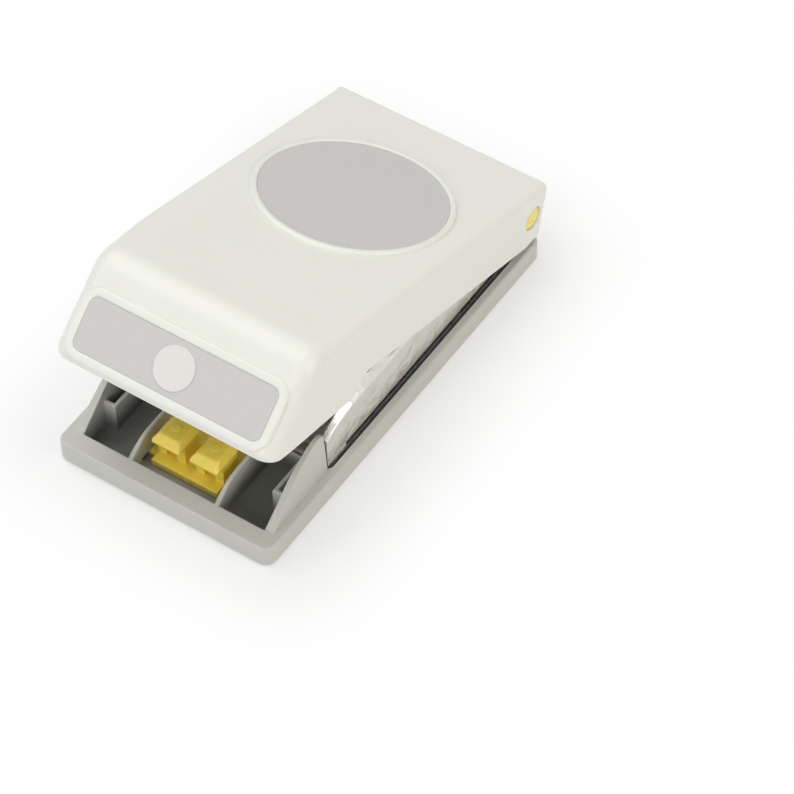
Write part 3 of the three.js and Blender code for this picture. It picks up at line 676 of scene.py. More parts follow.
def rounded_path(corners, runs, steps):
    """A path through (u, w, radius) corners. runs gives the shares at which each straight is sampled.
    Returns (u, w, inward u, inward w) at each station, inward being square to the path."""
    turns = []
    for before, here, after in zip(corners, corners[1:], corners[2:]):
        point, radius = Vector(here[:2]), here[2]
        arrive = (point - Vector(before[:2])).normalized()
        leave = (Vector(after[:2]) - point).normalized()
        turn = arrive.angle(leave)
        trim = radius * math.tan(turn / 2)
        turns.append((point - arrive * trim, point + leave * trim, arrive, turn, radius))
    starts = [Vector(corners[0][:2]), *[leaving for _, leaving, *_ in turns]]
    stops = [*[arriving for arriving, *_ in turns], Vector(corners[-1][:2])]
    stations = []
    for i, (start, stop, places) in enumerate(zip(starts, stops, runs)):
        along = (stop - start).normalized()
        stations += [(*start.lerp(stop, share), -along.y, along.x) for share in places]
        if i < len(turns):
            _, _, arrive, turn, radius = turns[i]
            inward = Vector((-arrive.y, arrive.x))
            centre = stop + inward * radius
            for k in range(1, steps[i]):
                normal = Matrix.Rotation(turn * k / steps[i], 2) @ inward
                stations.append((*(centre - normal * radius), *normal))
    return stations


print("lever tilted by", round(math.degrees(tilt), 2), "degrees")

# %% Two skins and a rim
back_steps, front_steps = 6, 9
turn_steps = (8, 16, 5)
shoulder_steps = 8
near_the_step = [step_front - 1.2 + 0.6 * i for i in range(18)]
top_stops = sorted({*range(-102, 4, 3), *near_the_step}, reverse=True)
rear_edge, even_edge = -2, -8
widening = -88
end_gap = 0.6


def skirt_height(u):
    """Height of the side wall's lower edge."""
    drop = smooth_share(u, step_back, step_front) * (front_skirt - skirt)
    front = smooth_share(u, step_front, -reach + 5.3) * (lip_depth - front_skirt)
    back = smooth_share(u, -1.5, 3.5) * (skirt + rear_foot[1])
    return -skirt - drop - front + back


def shares(count):
    """Evenly spaced shares with the ends, for one run."""
    return [i / count for i in range(count + 1)]


def skin(foot, back_top, bend_corner, nose_point, lip_point, radii, half, shoulders):
    """Rows of points across the lever. radii round the path's three corners, shoulders round the
    edges beside it, at the back, on top and in front."""
    corners = [(*foot, 0), (*back_top, radii[0]), (*bend_corner, radii[1]), (*nose_point, radii[2]),
               (*lip_point, 0)]
    top_start = back_top[0] - radii[0]
    top_end = bend_corner[0] + radii[1] * math.tan((math.pi / 2 - front_lean) / 2)
    stops = [u for u in top_stops if top_end < u < top_start]
    top_shares = [0, *[(u - top_start) / (top_end - top_start) for u in stops], 1]
    runs = (shares(back_steps), top_shares, shares(front_steps), shares(1))
    stations = rounded_path(corners, runs, turn_steps)
    top_row = back_steps + turn_steps[0]
    front_row = top_row + len(top_shares)
    last = len(stations) - 1
    edge_back = foot[0] - shoulders[0] - end_gap
    edge_front = lip_point[0] + shoulders[2] + end_gap
    rows = []
    for i, (u, w, inward_u, inward_w) in enumerate(stations):
        wide = smooth_share(u, widening, top_end - 2)
        shoulder = shoulders[1] + (shoulders[2] - shoulders[1]) * wide
        # The place along the skirt at which this row ends
        if i < top_row:
            shoulder = shoulders[0]
            edge = edge_back + (rear_edge - edge_back) * i / top_row
        elif i >= front_row:
            edge = top_end + (edge_front - top_end) * (i - front_row + 1) / (last - front_row + 1)
        elif u < even_edge:
            edge = u
        else:
            edge = rear_edge + (even_edge - rear_edge) * (top_start - u) / (top_start - even_edge)
        # Near the foot and the nose the shoulder turns level
        if i <= back_steps:
            level = 1 - i / back_steps
        else:
            level = smooth_share(w, 0, -nose_depth * 0.75) if i >= front_row else 0
            inward_u += (1 - inward_u) * level
        inward_w *= 1 - level
        right_half = [(half, edge, skirt_height(edge) if 0 < i < last else w)]
        for k in range(shoulder_steps + 1):
            angle = math.pi / 2 * (1 - k / shoulder_steps)
            depth = shoulder * (1 - math.cos(angle))
            x = half - shoulder + shoulder * math.sin(angle)
            right_half.append((x, u + inward_u * depth, w + inward_w * depth))
        rows.append([(-x, v, z) for x, v, z in right_half] + right_half[::-1])
    return rows


def wrapped(outer, inner):
    """One closed mesh from two skins with the same stations."""
    count, width = len(outer), len(outer[0])
    inside = count * width
    faces = quads(count, width, closed=False)
    faces += [[inside + corner for corner in face] for face in faces]
    rims = [(a, a + width) for i in range(count - 1) for a in (i * width, (i + 1) * width - 1)]
    rims += [(a, a + 1) for i in (0, count - 1) for a in range(i * width, (i + 1) * width - 1)]
    faces += [[a, b, inside + b, inside + a] for a, b in rims]
    return from_faces([point for rows in (outer, inner) for row in rows for point in row], faces)


bend_corner = (-reach + (top + nose_depth) * slope, top)
inner_top = top - top_wall
inner_front = front_wall / math.cos(front_lean)
nose_drop = 1.15
inner_nose = nose[0] + inner_front - nose_drop * slope
outer_skin = skin(rear_foot, (rear_top, top), bend_corner, nose, lip,
                  (2.2, bend, 1.3), half_width, (2.0, 2.3, 4.6))
inner_skin = skin((rear_foot[0] - rear_wall, rear_foot[1]), (rear_top - rear_wall, inner_top),
                  (bend_corner[0] + inner_front - top_wall * slope, inner_top),
                  (inner_nose, -nose_depth - nose_drop), (inner_nose, -lip_depth),
                  (0.9, bend - top_wall, 0.3), half_width - side_wall, (0.8, 0.9, 2.6))
shell = wrapped(outer_skin, inner_skin)
print("shell stations", len(outer_skin), len(inner_skin))
print("shell box in mm", [round(v / mm, 1) for v in shell.dimensions])

# %% [markdown]
# Beads, bosses and seats of the shell
#
# Round each label stands a low rounded bead. A bead is a small section carried along a closed
# path, so one function makes the round one and the straight-sided one. Inside, four bosses take
# the screws of the steel arm, and at the pivot a shallow seat takes the yellow cap.

# %% Beads
def bead(path, outward, upward, width, rise, sunk, flank):
    """A half-round section along a closed path of 3-D points in mm. outward has the way out at each.
    On its inner side the bead stands up straight by flank, so that a film can lie against it."""
    steps = 12
    section = []
    for i in range(steps + 1):
        angle = math.pi * i / steps
        foot = flank if i > steps / 2 else 0
        section.append((width / 2 * math.cos(angle), foot + (rise - foot) * math.sin(angle) ** 0.8))
    section += [(-width / 2, -sunk), (width / 2, -sunk)]
    points = [Vector(p) + Vector(out) * a + Vector(upward) * b
              for p, out in zip(path, outward) for a, b in section]
    return from_faces(points, quads(len(path), len(section), ring=True))


label_radius, label_gap = 26.1, 0.04
ring_width, ring_rise, ring_sunk, film_rise = 1.9, 0.9, 0.8, 0.6
ring_steps = 128
flank_drop = 0.1
label_low, label_high = box_mm("top_label")
label_u = (lever_place.inverted() @ ((label_low + label_high) / 2 * mm)).y / mm
ring_radius = label_radius + label_gap + ring_width / 2
ring_outline = circle(label_u, ring_radius, ring_steps)
ring = bead([(x, y, top) for x, y in ring_outline],
            [(x / ring_radius, (y - label_u) / ring_radius, 0) for x, y in ring_outline],
            (0, 0, 1), ring_width, ring_rise, ring_sunk, film_rise - flank_drop)

front_label_half, front_label_height, front_label_corner = 29.5, 7.5, 2.5
front_label_up = 10.0
front_width, front_rise, front_sunk, front_film_rise = 2.6, 0.78, 1.2, 0.46
corner_steps = 10
front_along = Vector((0, math.sin(front_lean), math.cos(front_lean)))
front_out = Vector((0, -math.cos(front_lean), math.sin(front_lean)))
front_middle = Vector((0, *nose)) + front_along * front_label_up


def on_front(x, y, out=0):
    """A point of the front face, counted from the middle of its label."""
    return front_middle + Vector((x, 0, 0)) + front_along * y + front_out * out


def front_outline(more, steps):
    """The front label's outline, larger by that much all round."""
    return rounded_rectangle(-front_label_half - more, front_label_half + more,
                             -front_label_height - more, front_label_height + more,
                             front_label_corner + more, steps)


outward_angles = [math.radians(90 * quarter + 90 * k / corner_steps)
                  for quarter in range(4) for k in range(corner_steps + 1)]
frame_bead = bead([on_front(x, y) for x, y in front_outline(label_gap + front_width / 2, corner_steps)],
                  [Vector((math.cos(a), 0, 0)) + front_along * math.sin(a) for a in outward_angles],
                  front_out, front_width, front_rise, front_sunk, front_film_rise - flank_drop)
print("beads", [len(one.data.polygons) for one in (ring, frame_bead)], "faces")

# %% The whole shell
small_bore = 1.6
boss_radius, boss_foot, boss_bore_top = 3.4, 5.9, 8.1
arm_screws = [(x, u) for u in (-22, -63) for x in (-18, 18)]
bosses = rods(arm_screws, boss_radius, boss_foot, inner_top + 0.6, 32)
seat_depth = 2.5
seat = [(0, 0), (2.2, 0), (2.2, 1.4), (3.6, 1.4), (3.6, 2.3), (3.85, 2.55), (3.85, 4), (0, 4)]


def at_hinge(profile, side, out):
    """A piece turned round the hinge's axis, its heights counted outward from out."""
    return lathe([(radius, side * height) for radius, height in profile], (side * out, 0, 0), "x", 48)


soften(shell, 0.5, 3, 55)
join(shell, ring, frame_bead, *bosses)
cut(shell, *rods(arm_screws, small_bore, 3, boss_bore_top, 32),
    *[at_hinge(seat, side, half_width - seat_depth) for side, _ in sides])
soften(shell, 0)
fit(on_lever(shell), "fine_lever_shell", "lever", "lever_plastic")

# %% [markdown]
# Films on the lever
#
# The two grey labels are thin matt films that lie inside their beads, and the round badge is a
# lighter film on the front one. All three are plain. A film has a cut edge with almost no
# rounding, and that thin edge line is what tells it from a painted patch.

# %% Labels and badge
film_gap, film_edge = 0.02, 0.06
badge_radius, badge_rise, badge_edge = 6, 0.28, 0.08


def lean_on_front(piece, out):
    """Takes a piece drawn flat at the origin onto the front face."""
    place = Matrix((Vector((1, 0, 0)), front_along, front_out)).transposed().to_4x4()
    piece.data.transform(Matrix.Translation(on_front(0, 0, out) * mm) @ place)
    return piece


film = prism(circle(label_u, label_radius, ring_steps),
             "z", top + film_gap, top + film_rise, film_edge, 2)
fit(on_lever(soften(film, 0)), "fine_top_label", "lever", "label_grey")
film = prism(front_outline(0, 8), "z", film_gap, front_film_rise, film_edge, 2)
fit(on_lever(lean_on_front(soften(film, 0), 0)), "fine_front_label", "lever", "label_grey")
badge = rod((0, 0, 0), "z", badge_radius, 0, badge_rise, badge_edge, 96)
badge = lean_on_front(soften(badge, 0), front_film_rise + film_gap)
fit(on_lever(badge), "fine_front_badge", "lever", "badge_white")

# %% [markdown]
# Pivot caps
#
# A yellow cap closes each end of the pivot pin. It sits in its seat, a touch below the side wall,
# with a low dome that catches one small highlight.

# %% Caps
cap_radius, cap_out, cap_dome = 3.45, 34.55, 0.45
dome = [(cap_radius * math.cos(a), cap_dome * math.sin(a) - cap_dome)
        for a in [math.radians(angle) for angle in range(0, 90, 15)]]
cap_profile = [(0, -0.6), (cap_radius - 0.1, -0.6), (cap_radius, -0.5), *dome, (0, 0)]
for side, word in sides:
    cap = at_hinge(cap_profile, side, cap_out)
    fit(on_lever(soften(cap, 0)), f"fine_pivot_cap_{word}", "lever", "yellow_plastic")

# %% [markdown]
# The base tray
#
# The tray is one grey moulding. Behind, it holds the steel die; in front, it has an open bay with
# two cheeks that rise to the back, two low arched ribs that guide the lock, and a small pocket in
# each rear corner. Outlines pushed to a thickness and cut from each other follow how a moulder
# would draw it. The cheeks and ribs get their round tops before they are joined, because a bevel
# that runs afterwards would have to fit the narrowest wall.

# %% Sizes of the base
gap, slide_gap, hook_gap = 0.3, 0.2, 0.6
past_sides = 40
tray_low, tray_high = box_mm("base_tray")
die_low, die_high = box_mm("die_plate")
frame_low, frame_high = box_mm("guide_housing")
cutter_low, cutter_high = box_mm("cutter")
lock_low, lock_high = box_mm("lock_slider")
front = tray_low.y
base_half, die_half = tray_high.x, die_high.x
tray_bottom = tray_low.z
rim_top = tray_bottom + 7
tray_inside = die_half + 0.6
front_rim = 5.7
bay_rear = front_rim + 24.1
disc_y = (cutter_low.y + cutter_high.y) / 2
disc_radius = 25.4
tray_floor, bay_floor = die_low.z, tray_bottom + 1.9
cheek_inside = tray_inside - 2.9
rib_inside, rib_outside = 13.2, 14.8
corner_radius, rim_rounding = 3.2, 0.75
foot_inset, foot_seat, foot_height = 9, 4.8, 1.4
screw_bore, head_bore = 2.2, 3.8
slide_thick, tongue_thick = 2.6, 1.4
print("tray width in mm", round(2 * base_half, 2), "bay depth", bay_rear - front_rim)

# %% Walls that rise from the front rim
# Each wall's line over the rim, as shares of its length and height
cheek_line = ((0, 0), (0.21, 0.3), (0.45, 0.67), (0.7, 0.9), (0.86, 1), (0.95, 0.99), (1, 0.93))
rib_line = ((0, 0), (0.1, 0.42), (0.25, 0.85), (0.45, 1), (1, 1))
cheek_height, rib_height = 14.2, 4.7
pocket_wide, pocket_wall, pocket_top = 3.9, 1.2, rim_top + 4.3
wall_inset = 0.05


def rising_wall(end, height, line_shares):
    """A wall's outline seen from the side, its line starting level with the rim."""
    start, foot = front_rim - 0.3, bay_floor - 1.3
    line = [(start + (end - start) * a, rim_top + height * b) for a, b in line_shares]
    outline = [(start - 1.8, foot), (end, foot), *flowing(line)[::-1], (start - 1.8, rim_top - 1.5)]
    return [(a + front, b) for a, b in outline]


def thin_upward(wall, side, near, far, height, loss):
    """Leans a wall's outer face inward: it loses that much thickness over its height."""
    for point in wall.data.vertices:
        depth = (side * point.co.x / mm - near) / (far - near)
        risen = min(1, max(0, (point.co.z / mm - rim_top) / height))
        point.co.x -= side * depth * risen * loss * mm


print("walls rise by", cheek_height, "and", rib_height, "mm")

# %% Tray
tray = prism(rounded_rectangle(-base_half, base_half, front, tray_high.y, corner_radius, 10),
             "z", tray_bottom, rim_top, rim_rounding, 4)
bay = rounded_rectangle(-cheek_inside, cheek_inside, front + front_rim, front + bay_rear + 0.4, 0.8, 4)
die_pocket = rounded_rectangle(-tray_inside, tray_inside, die_low.y - gap, die_high.y + gap, 2, 6)
cut(tray, prism(bay, "z", bay_floor, 12), prism(die_pocket, "z", tray_floor, 12),
    rod((0, disc_y, 0), "z", disc_radius + 1.6, -2, 6, 0, 96))
foot_places = [(x * (base_half - foot_inset), y)
               for y in (front + foot_inset, tray_high.y - foot_inset) for x in (-1, 1)]
frame_screws = [(x, die_low.y + 4.2) for x in (-20, 20)]
die_screws = [(x, die_high.y - 7) for x in (-15, 15)]
cut(tray, *rods(foot_places, foot_seat, -2, foot_height, 48))
cut(tray, *rods(frame_screws + die_screws, head_bore, -2, 1.9, 32))
cut(tray, *rods(frame_screws + die_screws, screw_bore, -2, 6))

tongue_front, tongue_top = lock_low.y + 2.7, bay_floor + slide_gap + tongue_thick + slide_gap
slide_room = 3.3
walls = []
for side, _ in sides:
    cheek = slab(rising_wall(bay_rear + 1.5, cheek_height, cheek_line),
                 side * (cheek_inside - wall_inset), side * (tray_inside - wall_inset), 1.0, 4)
    thin_upward(cheek, side, cheek_inside, tray_inside, cheek_height, 1.5)
    rib = slab(rising_wall(bay_rear + 0.75, rib_height, rib_line),
               side * rib_inside, side * rib_outside, 0.6, 4)
    thin_upward(rib, side, rib_inside, rib_outside, rib_height, 0.5)
    cut(rib, block(side * (rib_inside - 2), side * (rib_outside - 0.5),
                   tongue_front - slide_room, lock_high.y + gap, -2, tongue_top))
    inner, outer = side * (cheek_inside - pocket_wide), side * (cheek_inside + 0.8)
    wall = inner + side * pocket_wall
    near, far = front + (front_rim + 9.3), front + bay_rear + 0.6
    pocket = prism([(inner, near), (outer, near), (outer, near + pocket_wall), (wall, near + pocket_wall),
                    (wall, far), (inner, far)], "z", bay_floor - 0.8, pocket_top, 0.35)
    walls += [cheek, rib, pocket]
join(tray, *walls)
fit(soften(tray, 0.3), "fine_base_tray", "base", "base_plastic")

# %% [markdown]
# Rubber feet
#
# Four round feet stand a little below the tray. A turned profile is enough: a flat sole, a rounded
# edge and a shallow ring, which is what keeps a real foot from sucking onto a smooth table.

# %% Feet
foot_profile = [(0, 0.25), (2.2, 0.25), (2.5, 0), (3.9, 0), *arc((3.9, 0.6), 0.6, -90, 0, 4)[1:],
                (4.5, 1.1), (4.2, foot_height), (0, foot_height)]
for number, place in enumerate(foot_places, 1):
    foot = lathe(foot_profile, (*place, 0), "z", 48)
    fit(soften(foot, 0), f"fine_foot_{number}", "base", "foot_rubber")

# %% [markdown]
# Die, spacer and cutter frame
#
# The spacer keeps a slot open between the die and the frame. The die is ground flat and its
# cutting edge stays sharp, so it gets almost no rounding. The frame is cast: its rims are softer,
# and its side walls climb in a curve beside the lever.

# %% Die and spacer
die = prism(rounded_rectangle(-die_half, die_half, die_low.y, die_high.y, 2), "z", die_low.z, die_high.z)
cut(die, rod((0, disc_y, 0), "z", disc_radius, 0, 12, 0, 128))
cut(die, *rods(frame_screws, screw_bore, 0, 12), *rods(die_screws, screw_bore, 0, die_low.z + 3.8))
fit(soften(die, 0.12, 2), "fine_die_plate", "base", "tool_steel")

spacer_low, spacer_high = box_mm("throat_spacer")
spacer = block(-die_half, die_half, spacer_low.y, spacer_high.y, spacer_low.z, spacer_high.z)
cut(spacer, *rods(frame_screws, screw_bore, 0, 14))
fit(soften(spacer, 0.1, 2), "fine_throat_spacer", "base", "cast_metal")

# %% Cutter frame
guide_thick, side_rise, side_thick, side_rim = 4, 10.7, 2, 0.35
guide_low, guide_top = frame_low.z, frame_low.z + guide_thick
side_top = guide_top + side_rise
side_inside = die_half - side_thick
pivot_y, pivot_z = pivot.y / mm, pivot.z / mm
pivot_boss = 4.6
ramp_start, ramp_end = die_low.y, die_low.y + 15.4
ramp = flowing([
    (ramp_start, guide_top + 5.4),
    (ramp_start + (ramp_end - ramp_start) * 0.25, guide_top + 7.7),
    (ramp_start + (ramp_end - ramp_start) * 0.7, side_top - 0.9),
    (ramp_end, side_top),
    (ramp_end + 6, side_top),
], 8)
to_the_boss = flowing([(pivot_y, pivot_z + pivot_boss), (pivot_y - 6, side_top - 0.35),
                       (pivot_y - 12, side_top)])
side_outline = [(ramp_start, guide_low), (frame_high.y, guide_low), (frame_high.y, guide_top),
                *arc((pivot_y, pivot_z), pivot_boss, -40, 90, 16), *to_the_boss[1:], *ramp[::-1]]
spring_cup, cup_depth, cup_wall, spring_x = 4.4, 2.6, 1.1, 20.5
spring_reach = disc_radius + gap + 1.15 + spring_cup
spring_y = math.sqrt(spring_reach ** 2 - spring_x ** 2)
spring_places = [(x * spring_x, disc_y + y * spring_y) for y in (-1, 1) for x in (-1, 1)]


def lowered(outline, front_fall, rear_fall):
    """The side wall's outline at its outer face. In front of the pivot its top lies lower by the
    falls at the foot and at the head of its ramp."""
    line = []
    for y, z in outline:
        fall = front_fall + (rear_fall - front_fall) * smooth_share(y, ramp_start, ramp_end)
        near_pivot = smooth_share(y, pivot_y - 34, pivot_y - 16)
        line.append((y, z - fall * (1 - near_pivot) * (z > guide_top)))
    return line


# The guide block stays a hair inside the side walls' ends, so that no two faces lie in one plane.
hair = 0.02
housing = block(-side_inside - 1, side_inside + 1, die_low.y + hair, frame_high.y - hair,
                guide_low + hair, guide_top)
outer_outline = lowered(side_outline, 0.8, 2.4)
join(housing, prism(outer_outline, "x", -die_half, -side_inside, side_rim, 3, side_outline),
     prism(side_outline, "x", side_inside, die_half, side_rim, 3, outer_outline))
cut(housing, rod((0, disc_y, 0), "z", disc_radius, 0, 30, 0, 128))
cut(housing, *rods(spring_places, spring_cup, guide_top - cup_depth, 30, 40),
    *rods(frame_screws, screw_bore, 0, guide_top - 0.4),
    rod((0, pivot_y, pivot_z), "x", screw_bore, -past_sides, past_sides))
fit(soften(housing, 0.25), "fine_guide_housing", "base", "cast_metal")

# %% [markdown]
# Cutter and pressure plate
#
# The cutter is a turned steel cup, open below, whose edge is hollow across the punch so that it
# cuts bit by bit instead of all at once. The plate above it spreads the lever's push and carries a
# cup for each spring.

# %% Cutter
plate_low, plate_high = box_mm("pressure_plate")
cutter_wall, shear = 2.5, 1.4
cutter_radius = disc_radius - gap
hollow = cutter_radius - cutter_wall
edge, roof, cup_top = cutter_low.z, cutter_high.z - cutter_wall, cutter_high.z
cup = lathe([
    (0, roof), (hollow - 1, roof), *arc((hollow - 1, cup_top - 3.5), 1, 90, 0, 4)[1:],
    (hollow, edge + 1.8), (cutter_radius - 0.9, edge), (cutter_radius, edge),
    (cutter_radius, cup_top - 0.4), (cutter_radius - 0.4, cup_top), (0, cup_top),
], (0, disc_y, 0), "z", 128)
cut(cup, prism([(disc_y - cutter_radius, edge), (disc_y + cutter_radius, edge), (disc_y, edge + shear)],
               "x", -past_sides, past_sides))
cutter_screw = hollow * math.sqrt(0.5)
cutter_screws = [(x * cutter_screw, disc_y + y * cutter_screw) for y in (-1, 1) for x in (-1, 1)]
cut(cup, *rods(cutter_screws, small_bore, plate_low.z - 2.1, 30))
fit(soften(cup, 0), "fine_cutter", "cutter", "tool_steel")

# %% Pressure plate
plate_thick, plate_rim = 3, 0.3
slab_top, rims_top = plate_low.z + plate_thick, plate_high.z
plate = prism(rounded_rectangle(-plate_high.x, plate_high.x, plate_low.y, plate_high.y, 6, 10),
              "z", plate_low.z, slab_top, plate_rim, 2)
join(plate, *rods(spring_places, spring_cup + cup_wall, plate_low.z + 0.3, rims_top, 40, plate_rim))
cut(plate, *rods(spring_places, spring_cup, 0, rims_top - cup_wall, 40))
cut(plate, *rods(cutter_screws, small_bore, 12, 40))
fit(soften(plate, 0.15, 2), "fine_pressure_plate", "cutter", "arm_steel")

# %% [markdown]
# The steel arm and the press bar
#
# Under the plastic shell lies a channel of pressed steel. It turns on the pin, takes the load of
# the hand, and ends in two hooks that the yellow lock catches. A half-round bar below it rolls
# on the pressure plate. Sheet metal shows its thickness at every rim, with a fine even rounding.

# %% Arm
lock_tilt = tilt - math.radians(12)
steel, web_low = 1.6, 4.0
web_top = web_low + steel
flange_gap = 1.0
flange_out = side_inside - flange_gap
flange_in = flange_out - steel
shoulder, taper, narrow = 70, 8, 14
ear = 4.2
ear_web = math.sqrt(ear ** 2 - 2 ** 2) - 0.3

# The hooks' tip is set with the lever down, under the keys, and turned back into the lever's frame.
key_wide, key_space, key_deep, key_thick, key_rise = 9.1, 3.2, 9.8, 3.05, 9.1
hook_fall = bay_floor + slide_gap + key_rise - hook_gap - pivot_z
hook_y = lock_low.y - gap - pivot_y
tip_u = hook_y * math.cos(lock_tilt) - hook_fall * math.sin(lock_tilt)
tip_w = hook_y * math.sin(lock_tilt) + hook_fall * math.cos(lock_tilt)
hook_back = tip_u - 4.6
hook_bend = -reach + (web_top + nose_depth) * slope + inner_front + 2.1
hook = [
    (hook_bend + steel, web_low), (hook_bend + steel, web_top), (hook_bend, web_top),
    (hook_back, tip_w + 5.8), (hook_back, tip_w - 1.2), (tip_u - 0.5, tip_w - 1.2),
    (tip_u, tip_w - 0.8), (tip_u, tip_w), (hook_back + steel, tip_w),
    (hook_back + steel, tip_w + 5.4), (hook_bend, web_low),
]
web_end = hook_bend + steel - 0.3
web = prism([
    (flange_out, ear_web), (-flange_out, ear_web), (-flange_out, -shoulder), (-narrow, -shoulder - taper),
    (-narrow, web_end), (narrow, web_end), (narrow, -shoulder - taper), (flange_out, -shoulder),
], "z", web_low, web_top)
flange = [
    *arc((0, 0), ear, -90, 60, 12), (ear_web, web_top), (-shoulder, web_top),
    (-shoulder, web_low - steel), (-shoulder + taper, -1.5), (-ear * 2, -1.5), (-ear, -2.6), (-1.6, -3.9),
]
hook_x, hook_half = (key_space + key_wide) / 2, 3
arm = join(web, *[slab(flange, side * flange_in, side * flange_out) for side, _ in sides],
           *[slab(hook, side * hook_x - hook_half, side * hook_x + hook_half) for side, _ in sides])

bar_radius, bar_half = 5, 15
push_arm = pivot_y - disc_y
push_rise = slab_top + gap + bar_radius - pivot_z
push_u = -(push_arm * math.cos(tilt) + push_rise * math.sin(tilt))
push_w = -push_arm * math.sin(tilt) + push_rise * math.cos(tilt)
bar_screws = [(x, push_u) for x in (-11, 11)]
cut(arm, *rods(arm_screws + bar_screws, small_bore, 0, 8),
    rod((0, 0, 0), "x", screw_bore, -past_sides, past_sides))
fit(on_lever(soften(arm, 0.25, 2, 40)), "fine_lever_arm", "lever", "arm_steel")

# %% Press bar
bar_top = web_low - gap
bar = prism([(push_u + bar_radius, bar_top), (push_u - bar_radius, bar_top),
             *arc((push_u, push_w), bar_radius, 180, 360, 24)], "x", -bar_half, bar_half, 0.4)
cut(bar, *rods(bar_screws, small_bore, bar_top - 3.9, bar_top + 2))
fit(on_lever(soften(bar, 0)), "fine_press_bar", "lever", "tool_steel")

# %% [markdown]
# Pin and washers
#
# The hinge is a plain steel pin with chamfered ends and two thin washers that keep the arm's
# flanges off the frame.

# %% Pin and washers
pin_low, pin_high = box_mm("pivot_pin")
pin = rod((0, pivot_y, pivot_z), "x", 2, pin_low.x, pin_high.x, 0.4, 40)
fit(soften(pin, 0), "fine_pivot_pin", "base", "screw_steel")
for side, word in sides:
    near, far = [corner.x for corner in box_mm(f"pivot_washer_{word}")]
    profile = [(screw_bore, near), (screw_bore, far), (4.1, far), (4.2, far - 0.1), (4.2, near + 0.1),
               (4.1, near)]
    washer = lathe(profile, (0, pivot_y, pivot_z), "x", 48)
    fit(soften(washer, 0), f"fine_pivot_washer_{word}", "base", "screw_steel")

# %% [markdown]
# The lock slide
#
# The bright piece in the front bay is one moulding: a flat slide with two keys on legs. Pulled to
# the front with the lever down, its keys reach over the arm's hooks. Each key is crowned, with a
# steep bevel in front, shoulders that widen downward and a small round bump for the finger. A key
# is drawn as a stack of rounded rectangles, which gives the crown and the sloping sides in one
# closed skin.

# %% Keys
lock_bottom = lock_low.z
key_front, key_back = lock_low.y + 0.5, lock_low.y + 0.5 + key_deep
key_low, key_top = lock_bottom + key_rise, lock_high.z

# Insets at the sides, the front and the back, the corner radius, and the share of the height
key_levels = (
    (0.2, 0.15, 0.2, 0.5, 0), (0, 0, 0, 0.6, 0.07), (0, 0.1, 0, 0.6, 0.26), (0.2, 0.4, 0, 0.7, 0.4),
    (1.15, 1.75, 0.4, 0.9, 0.84), (1.35, 2.0, 0.6, 0.95, 0.905), (1.65, 2.3, 0.9, 1.0, 0.95),
    (2.2, 2.9, 1.6, 1.1, 0.98), (3.1, 4.2, 3.0, 1.2, 1),
)
# The finger bump: its radius and how far it lies below the key's top
bump_back = 0.9
bump_profile = ((0, 1), (1.5, 1), (1.5, 0.25), (1.35, 0.12), (1.0, 0.03), (0.5, 0), (0, 0))


def key(side):
    x0, x1 = sorted((side * key_space / 2, side * key_space / 2 + side * key_wide))
    rows = []
    for at_sides, at_front, at_back, radius, share in key_levels:
        y0, y1 = key_front + at_front, key_back - at_back
        outline = rounded_rectangle(x0 + at_sides, x1 - at_sides, y0, y1, radius, 5)
        rows.append([(x, y, key_low + key_thick * share) for x, y in outline])
    bump = lathe([(radius, key_top - depth) for radius, depth in bump_profile],
                 ((x0 + x1) / 2, (key_front + key_back) / 2 + bump_back, 0), "z", 32)
    return stack(rows), bump


print("keys", key_wide, "by", key_deep, "mm")

# %% Slide, legs and tongues
outer = key_space / 2 + key_wide
leg_front, leg_back = key_front + 2.8, key_back - 0.5
leg_set, leg_wide, leg_wall = 0.1, 2.8, 2.5
slide = block(-outer, outer, lock_low.y, lock_high.y, lock_bottom, lock_bottom + slide_thick, 0.25)
parts = []
for side, _ in sides:
    inner_x, outer_x = side * key_space / 2, side * outer
    for x0, x1, y0 in ((inner_x + side * leg_set, inner_x + side * leg_wide, leg_front),
                       (outer_x - side * leg_set, outer_x - side * leg_wide, leg_front),
                       (inner_x + side, outer_x - side, leg_back - leg_wall)):
        parts.append(block(x0, x1, y0, leg_back, lock_bottom + 1, key_low + 0.9, 0.3))
    parts.append(block(outer_x - side * 0.5, side * (rib_inside + rib_outside) / 2,
                       tongue_front, lock_high.y, lock_bottom, lock_bottom + tongue_thick, 0.2))
    parts += key(side)
join(slide, *parts)
fit(soften(slide, 0.2), "fine_lock_slider", "lock", "yellow_plastic")

# %% [markdown]
# Screws and springs by Geometry Nodes
#
# The same screw is used many times in three sizes, and four springs are alike, so a node tree
# makes them: it builds one form from its sizes and sets a copy on each point of a small mesh. Its
# inputs are named, and each set of points gets its own values. The result is realised, made a
# plain mesh and handed to the body that it belongs to.

